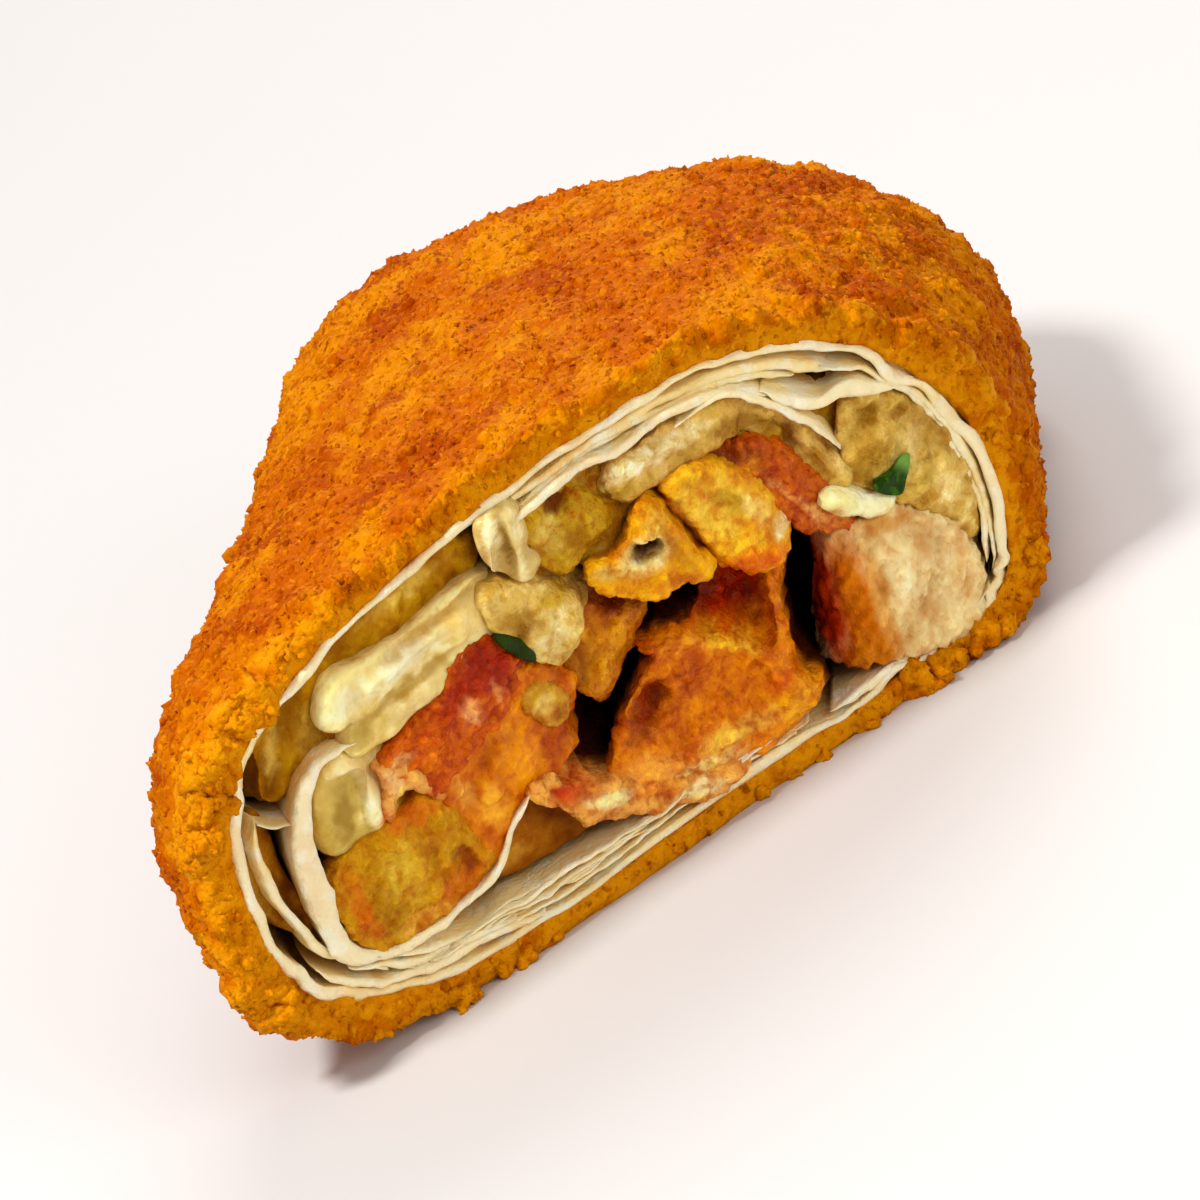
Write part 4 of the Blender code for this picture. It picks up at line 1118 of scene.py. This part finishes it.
# The darker dabs along the groove near its right side are painted shade.
strand(
    "sauce_left_cut", "sauce", "sauce_left",
    [(-8.6, 25.6), (-6.3, 24.4), (-4.4, 21.4), (-5.4, 18.1), (-5.6, 15.6), (-8.2, 14.3), (-9.4, 14),
     (-11.4, 12.6), (-13.7, 9.2), (-14.8, 13.4), (-16.2, 17.6), (-13.6, 20.8), (-11.4, 22.4), (-9.2, 23.4)],
    (220, 118, 0), [((255, 176, 50), -12.4, 14.6, 1.2, 2.6, 14, 0.9),
     ((246, 150, 8), -9.4, 17.6, 1.6, 2.6, 0, 0.8), ((190, 82, 2), -6.6, 16.6, 1, 2.6, 0, 0.8),
     ((230, 176, 90), -6.6, 21.6, 1.1, 1.2, 0, 0.7), ((186, 86, 6), -5.2, 18.8, 0.7, 2.4, 0, 0.8),
     ((244, 176, 84), -14.6, 17.4, 0.7, 2, 10, 0.7), ((196, 100, 10), -11.4, 20, 1.6, 1.2, 30, 0.6)],
    0.2, [(0.8, -11, 18, 2.4, 3), (-1, -5.4, 19, 1.4, 3), (-0.8, -13.8, 16, 0.6, 3, 10)], rounding=1.1,
    swell=0.4, fibres=(62, 0.35)
)
# The near-white dab along its ridge is a painted highlight, and the darker dabs in the grooves above and
# below it painted shade.
strand(
    "cheese_left_cut", "cream", "cheese_left",
    [(-23.4, 31.2), (-22.2, 32.7), (-18.8, 33.4), (-16.6, 33.6), (-13.2, 34.6), (-10.4, 35.6), (-8.8, 34.9),
     (-9.2, 31.3), (-9.8, 29.2), (-11.7, 29.8), (-13.7, 28.2), (-16, 26.8), (-18.6, 25.7), (-21.4, 25.9),
     (-22.4, 27.2), (-21.6, 28.6), (-23.6, 29.4)],
    (250, 230, 178), [((255, 253, 238), -17.2, 31.6, 6.4, 1.2, 14, 1),
     ((206, 160, 84), -14, 33.8, 4, 0.6, 14, 0.8), ((196, 158, 82), -16.6, 29.2, 5, 0.6, 16, 0.9),
     ((240, 212, 150), -11.6, 32.6, 1.6, 1.6, 0, 0.8), ((226, 200, 140), -16.4, 27.6, 3.6, 0.8, 18, 0.8),
     ((186, 152, 72), -21.6, 27.4, 1.4, 1.4, 0, 0.8)],
    0.4, [(0.9, -17, 31.7, 7, 0.8, 14), (-0.9, -16.6, 29.4, 6, 0.7, 16), (-0.8, -13.6, 33.9, 5, 0.6, 14),
    (0.6, -19.6, 30.4, 0.6, 2, -30), (0.6, -15.2, 31.2, 0.6, 2.2, -40), (0.5, -12, 31.6, 0.5, 2, -20)],
    rounding=0.5
)
strand(
    "cheese_middle_cut", "cheese", "cheese_middle",
    [(-9.8, 34.5), (-6.6, 33.2), (-4.1, 31.7), (-1.8, 28.9), (-2.9, 26), (-4.6, 24.1), (-6.2, 25.4),
     (-7.7, 28.2), (-9.6, 31)],
    (232, 196, 112), [((255, 238, 190), -5, 27.8, 1.6, 2, 0, 0.8),
     ((214, 172, 34), -4.2, 30.6, 1.2, 0.7, -20, 0.9), ((236, 204, 130), -8.6, 32.6, 1, 1.2, 0, 0.8),
     ((176, 126, 40), -6.8, 29.6, 0.7, 2, -20, 0.7)],
    1.3, [(0.5, -5, 27.6, 2, 2)]
)
# The two dark dabs round the hollow at its right are painted shade.
strand(
    "cheese_crown_cut", "cheese", "cheese_crown",
    [(1.4, 37.4), (2.6, 38.9), (5.4, 39.7), (8.4, 40.2), (12.1, 40.2), (15.2, 39), (17.7, 36.3),
     (20.4, 32.7), (22, 28.9), (22.1, 26.8), (19.9, 27.4), (18.2, 30.3), (15.9, 34), (13.3, 36.2),
     (10.4, 36.3), (7.7, 35.9), (5.1, 35.6), (2.6, 35.8)],
    (222, 182, 98), [((255, 238, 196), 6.4, 38.6, 4.4, 1, 4, 0.9),
     ((166, 118, 22), 14, 36.8, 3, 1, -30, 0.9), ((130, 72, 4), 17.2, 33.8, 1.7, 1.4, -55, 0.95),
     ((228, 190, 110), 19.8, 31.2, 0.7, 2.8, 30, 0.9), ((190, 146, 26), 3, 36.6, 1.6, 1, 0, 0.7),
     ((176, 130, 30), 9.6, 37.2, 1.4, 0.8, 0, 0.6)],
    0, [(-2.2, 16.4, 34.4, 3.2, 1.4, -52), (0.7, 6.5, 38.4, 4, 0.8, 4), (1.4, 20.4, 30, 0.8, 3, 28)],
    rounding=0.9
)
# The dark dabs in the two dimples at its top are painted shade.
strand(
    "cheese_right_cut", "cheese", "cheese_right",
    [(22.4, 34), (24.8, 34), (27.3, 32.7), (30, 30), (31.8, 26.6), (32.2, 22.8), (32.2, 19.3), (31.5, 15.8),
     (29.7, 18.2), (27.4, 20.9), (26, 22.6), (24.4, 24.6), (22.3, 26.6), (21.6, 29.5), (21.5, 31.9)],
    (212, 172, 84), [((160, 108, 12), 24.6, 32.2, 1.2, 1, 0, 0.9),
     ((156, 104, 20), 27, 31.4, 1, 0.6, -20, 0.8), ((198, 148, 36), 23.8, 29, 1.8, 2, 0, 0.7),
     ((230, 200, 126), 28, 27.4, 1.6, 2, 20, 0.8), ((238, 208, 136), 30.8, 20.6, 1, 3.4, 10, 0.9),
     ((180, 130, 40), 23, 27, 1.6, 0.8, -30, 0.7), ((196, 160, 70), 29, 24.6, 0.8, 1.8, 20, 0.7)],
    0.7, [(0.7, 28, 26, 3, 5, 20), (-1.2, 24.6, 32.4, 1.3, 0.9), (-1.2, 27.2, 31.6, 1, 0.7)]
)
# The dark dab in the hollow between its two raised edges is painted shade.
strand(
    "cheese_pocket_cut", "cream", "cheese_pocket",
    [(-25.8, 23.6), (-23.2, 26), (-20.4, 24.8), (-20, 21.3), (-20.6, 18.4), (-22.7, 17), (-25.6, 17.2),
     (-26.4, 20.6)],
    (208, 180, 104), [((255, 242, 212), -21.6, 21.4, 0.8, 3.2, -4, 1),
     ((255, 236, 196), -22.8, 24.7, 2.2, 0.8, -22, 1), ((140, 104, 26), -24, 20.6, 0.9, 2.4, 4, 0.8),
     ((222, 130, 50), -20.9, 18.2, 0.8, 0.8, 0, 0.8)],
    -0.9, [(1.7, -21.6, 21.4, 0.7, 3.6, -4), (1.2, -22.8, 24.7, 2.4, 0.7, -22)], rounding=0.8
)

# ---- Sauce and cream between the strands -----------------------------------------------------------
# White cream in dollops and orange sauce in smears against the strands at the cut, and beds of
# sauce behind them, so that no gap between two strands runs back into the dark.

SMEAR_END, BED_END = 0.08, 0.3

strand(
    "dollop_right", "cream", None,
    [(19.5, 27), (20.9, 26.9), (22.1, 26.3), (23.2, 25.2), (24.4, 24.7), (25.1, 23.8), (24.5, 23.1),
     (23.2, 23.3), (22.2, 24.2), (21, 24.8), (20.2, 25.5)],
    (255, 246, 222), [((230, 186, 130), 20.6, 25.2, 0.8, 0.8, 0, 0.7)],
    1.8, [(0.6, 21.2, 26.2, 1.5, 0.5, -30), (0.5, 24, 24, 1.2, 0.5, -30)], rounding=0.7, swell=0.1,
    end=SMEAR_END
)
# The near-white dabs on its two folds are painted highlights, the dark line between them painted shade.
strand(
    "smear_crown", "cream", None,
    [(-8.9, 40.6), (-7.4, 40.9), (-5.6, 39.8), (-4.9, 37.4), (-5.4, 35.8), (-4.8, 34.6), (-6.2, 33.8),
     (-7.6, 34.8), (-8.4, 35.4), (-9.2, 36.6), (-9.3, 38.8)],
    (214, 186, 130), [((255, 248, 228), -7.9, 38.2, 0.55, 3.4, -6, 1),
     ((255, 246, 222), -6, 37, 0.5, 3.4, 2, 1), ((150, 112, 44), -6.95, 37.4, 0.2, 2.6, -3, 0.8)],
    1.1, [(1.3, -7.9, 38.2, 0.5, 3.6, -6), (1.2, -6, 37, 0.5, 3.6, 2)], rounding=0.5, swell=0, end=SMEAR_END
)
strand(
    "smear_pocket", "sauce", None,
    [(-20.9, 23.7), (-18.8, 22.8), (-17.2, 20.6), (-15.8, 18), (-16.8, 18.2), (-18.4, 20.2), (-19.6, 20.4),
     (-20.6, 18.4), (-21, 19.2), (-20.4, 21.4)],
    (236, 164, 92), [((250, 204, 150), -19.6, 21.8, 0.7, 1.3, 20, 0.8),
     ((216, 96, 20), -21, 18.6, 0.6, 1.4, 0, 0.8)],
    1.1, rounding=0.7, swell=0.1, end=SMEAR_END
)
strand(
    "smear_chicken", "sauce", None,
    [(-8.6, 23.4), (-6.5, 23.3), (-4.7, 20.6), (-5.6, 18.9), (-7, 19.2), (-8.2, 20.8)],
    (206, 144, 40), [((236, 200, 120), -6.8, 21.6, 0.7, 0.8, 0, 0.8),
     ((170, 100, 12), -5.6, 20.2, 0.7, 0.7, 0, 0.8)],
    0.7, rounding=0.7, swell=0, end=SMEAR_END
)
strand(
    "sauce_bed_left", "sauce", None,
    [(-24, 30.4), (-16, 32.4), (-10, 34.6), (-4, 33.4), (-3.4, 29), (-4.8, 24), (-6, 20), (-7, 15.6),
     (-9.6, 14.6), (-12, 12.4), (-14.6, 9.4), (-19, 8), (-24, 9.6), (-25.6, 16), (-25.4, 23.6),
     (-24, 26.4)],
    (186, 120, 16), [((190, 78, 4), -14, 22.6, 4, 4, 30, 0.9), ((210, 170, 84), -18, 28, 5, 1.4, 16, 0.8),
     ((206, 104, 4), -15, 14, 2.4, 4, 10, 0.8), ((178, 134, 34), -6, 30, 3, 3, 0, 0.8)],
    -1.6, [(-1.2, -23, 21, 3, 4)], rounding=0.6, swell=0, end=BED_END
)
strand(
    "sauce_bed_crown", "sauce", None,
    [(-9, 37.6), (-3, 39.6), (4, 40.2), (12, 40.2), (18, 37.6), (24, 34.8), (30, 28.6), (31.4, 20),
     (26, 21.6), (22, 23.4), (17, 25), (13, 25), (10, 27), (4, 28.2), (-1, 30.4), (-4.4, 33.4)],
    (170, 116, 22), [((196, 150, 50), 26, 30, 3, 3, 0, 0.8), ((130, 70, 6), 8.6, 32, 1.4, 4, 30, 0.9),
     ((160, 70, 6), 15, 30, 2, 4, 30, 0.8)],
    -1.8, rounding=0.6, swell=0, end=BED_END
)

# ---- Soaked flatbread behind the folds ---------------------------------------------------------------
# Inner turns of flatbread, soaked orange with oil and sauce. Where a turn runs back into the roll,
# its inner side shows between the folds and the strands as a soft strip.

# The dark dabs in its hollow and down its left edge are painted shade, the pale stripes on its two ridges
# painted highlights.
strand(
    "soaked_left", "flatbread", None,
    [(-30, 24.4), (-29.9, 28.5), (-30, 31.8), (-28.6, 34), (-26, 35.2), (-21.8, 36.6), (-15.4, 37.9),
     (-11, 38.8), (-9.6, 36.8), (-12.4, 33.8), (-20, 31.6), (-22.8, 29), (-22.6, 27), (-25.6, 26.2),
     (-27.6, 24.8)],
    (182, 126, 12), [((150, 92, 4), -27, 32.4, 1.6, 3, -20, 0.8),
     ((200, 156, 62), -25.4, 28.6, 1.2, 2.4, -10, 0.9), ((216, 176, 84), -16, 36.6, 3.6, 0.5, 14, 0.7),
     ((140, 86, 6), -29.2, 26.4, 0.7, 2.4, 0, 0.8), ((222, 184, 92), -28.5, 29.6, 0.5, 3.6, -12, 0.8)],
    -2.2, [(-0.8, -27, 31, 2.5, 3.5), (0.7, -25.6, 29.6, 0.8, 4, -16), (0.6, -28.4, 29.6, 0.5, 4.4, -12)],
    rounding=0.6, swell=0.3, fibres=(66, 0.35), end=BED_END
)
# The dark dab along its right edge is painted shade.
strand(
    "soaked_slot", "flatbread", None,
    [(-31, 24.2), (-32.8, 21.5), (-33, 18), (-31.8, 14.2), (-29.6, 11.2), (-27.6, 9), (-28.4, 12),
     (-29.8, 16.4), (-30.4, 20.4)],
    (166, 104, 10), [((196, 146, 54), -32, 17, 0.7, 3.4, 0, 0.8),
     ((96, 44, 2), -29.8, 14, 0.5, 3.6, 14, 0.9)],
    -2.6, rounding=0.5, swell=0.2, end=BED_END
)
strand(
    "soaked_low", "flatbread", None,
    [(-9.3, 13.6), (-5.2, 10), (-3.6, 7.6), (-8.6, 6.6), (-14.2, 6.6), (-16.6, 7.4), (-13.2, 9.4),
     (-11.2, 12.4)],
    (156, 88, 8), [((124, 54, 6), -7.6, 9.8, 2, 1, -30, 0.8),
     ((190, 130, 40), -12.4, 8, 1.6, 0.7, 10, 0.7)],
    -2.8, rounding=0.5, swell=0.2, end=BED_END
)

# ---- Herbs -----------------------------------------------------------------------------------------
# Two scraps of wilted green herb caught between the pieces at the cut: a folded dark leaf with a
# bright tip, and a narrow sliver.

herb = Finish("wilted herb", seen(20, 54, 4), 0.4, glow=0.1, gleam=0.12, tint=(0.7, 1, 0.3))
herb.layer(herb.noise(1.2, 3.0), 0.5, 0.66, seen(60, 100, 16), 0.8)
herb.layer(herb.slope((1, 0, 0.6)), 41.2, 42.6, seen(120, 165, 70), 0.8)
herb.layer(herb.slope((1, 0, 0)), 6.0, 0.0, seen(36, 46, 8), 0.8)
herb_material = herb.finish(herb.noise(0.5), 0.16)
LEAF_ROUNDING, LEAF_END, LEAF_CURL, LEAF_CURL_SIZE = 0.1, 0.008, 0.5, 1.6
LEAVES = {
    # how far out the leaf stands, its outline on the cut
    "herb_right": (2.2, (
        (23.9, 26.2), (25.4, 26.5), (27.0, 27.4), (27.6, 26.9), (27.0, 25.3), (26.3, 24.1), (24.8, 24.9))),
    "herb_left": (1.6, ((-9.4, 29.8), (-8.9, 30.0), (-7.6, 28.7), (-6.4, 26.7), (-6.8, 26.0), (-8.3, 27.9))),
}
for node, (stand, outline) in LEAVES.items():

    def leaf_front(u, v):
        return stand + LEAF_CURL * ripple(u, v, 3.0, LEAF_CURL_SIZE)

    leaf_mesh = strand_mesh(node + "_leaf", outline, leaf_front, LEAF_ROUNDING, 0.0, LEAF_END)[0]
    leaf_mesh.materials.append(herb_material)
    keep(add_object(node + "_leaf", leaf_mesh), [node])

# ---- Table, light and camera -------------------------------------------------------------------------
# A plain pale table under soft white light from all round, and the camera at the photograph's
# angle, closer in.

EYE = Vector((0.0887, -0.5246, 0.2260))
EYE_RIGHT = Vector((0.9481, 0.0149, -0.3175))
EYE_UP = Vector((0.2757, 0.4585, 0.8448))
FILL = 0.74  # the share of the frame that the part takes up
SENSOR = 36.0


def through_lens(points, axes):
    """Where points given from the eye fall on a picture one unit ahead of it."""
    at = points @ axes.T
    return at[:, :2] / -at[:, 2:]


ends = np.concatenate([positions(o.data) for o in frame["nodes"].values()]) - np.array(EYE)
axes = np.array([EYE_RIGHT, EYE_UP, EYE_RIGHT.cross(EYE_UP).normalized()])
flat = through_lens(ends, axes)
middle = (flat.min(0) + flat.max(0)) / 2
look = (Vector(axes[0]) * middle[0] + Vector(axes[1]) * middle[1] - Vector(axes[2])).normalized()
right = (EYE_RIGHT - look * EYE_RIGHT.dot(look)).normalized()
axes = np.array([right, right.cross(look), -look])
camera_data = bpy.data.cameras.new("camera")
camera_data.sensor_width = SENSOR
camera_data.lens = SENSOR * FILL / (2 * np.abs(through_lens(ends, axes)).max())
camera = add_object("camera", camera_data)
camera.matrix_world = Matrix.Translation(EYE) @ Matrix(axes.tolist()).transposed().to_4x4()
bpy.context.scene.camera = camera

table_corners = [(-4, -4, 0), (4, -4, 0), (4, 4, 0), (-4, 4, 0)]
table = add_object("table", new_mesh("table", table_corners, [(0, 1, 2, 3)]))
table_finish = Finish("pale table", seen(211, 207, 205), 0.6)
table.data.materials.append(table_finish.finish(table_finish.noise(2.0), 0.01, 0.1))

world = bpy.data.worlds.new("white room")
world.use_nodes = True
sky = {"Color": (1.0, 0.97, 0.93), "Strength": 0.38}
fill_in(world.node_tree, world.node_tree.nodes["Background"], sky)
bpy.context.scene.world = world

LIGHTS = {
    # place, size, watts
    "key": ((-0.3, -0.35, 0.65), 0.16, 5.6),
    "fill": ((0.6, -0.5, 0.4), 0.6, 2.5),
    "back": ((0.1, 0.7, 0.6), 0.6, 5.2),
}
for light_name, (where, size, watts) in LIGHTS.items():
    lamp = bpy.data.lights.new(light_name, "AREA")
    lamp.shape, lamp.size, lamp.energy = "DISK", size, watts
    holder = add_object(light_name, lamp)
    holder.location = where
    holder.rotation_euler = (-Vector(where)).to_track_quat("-Z", "Y").to_euler()

bpy.context.scene.view_settings.view_transform = "Standard"
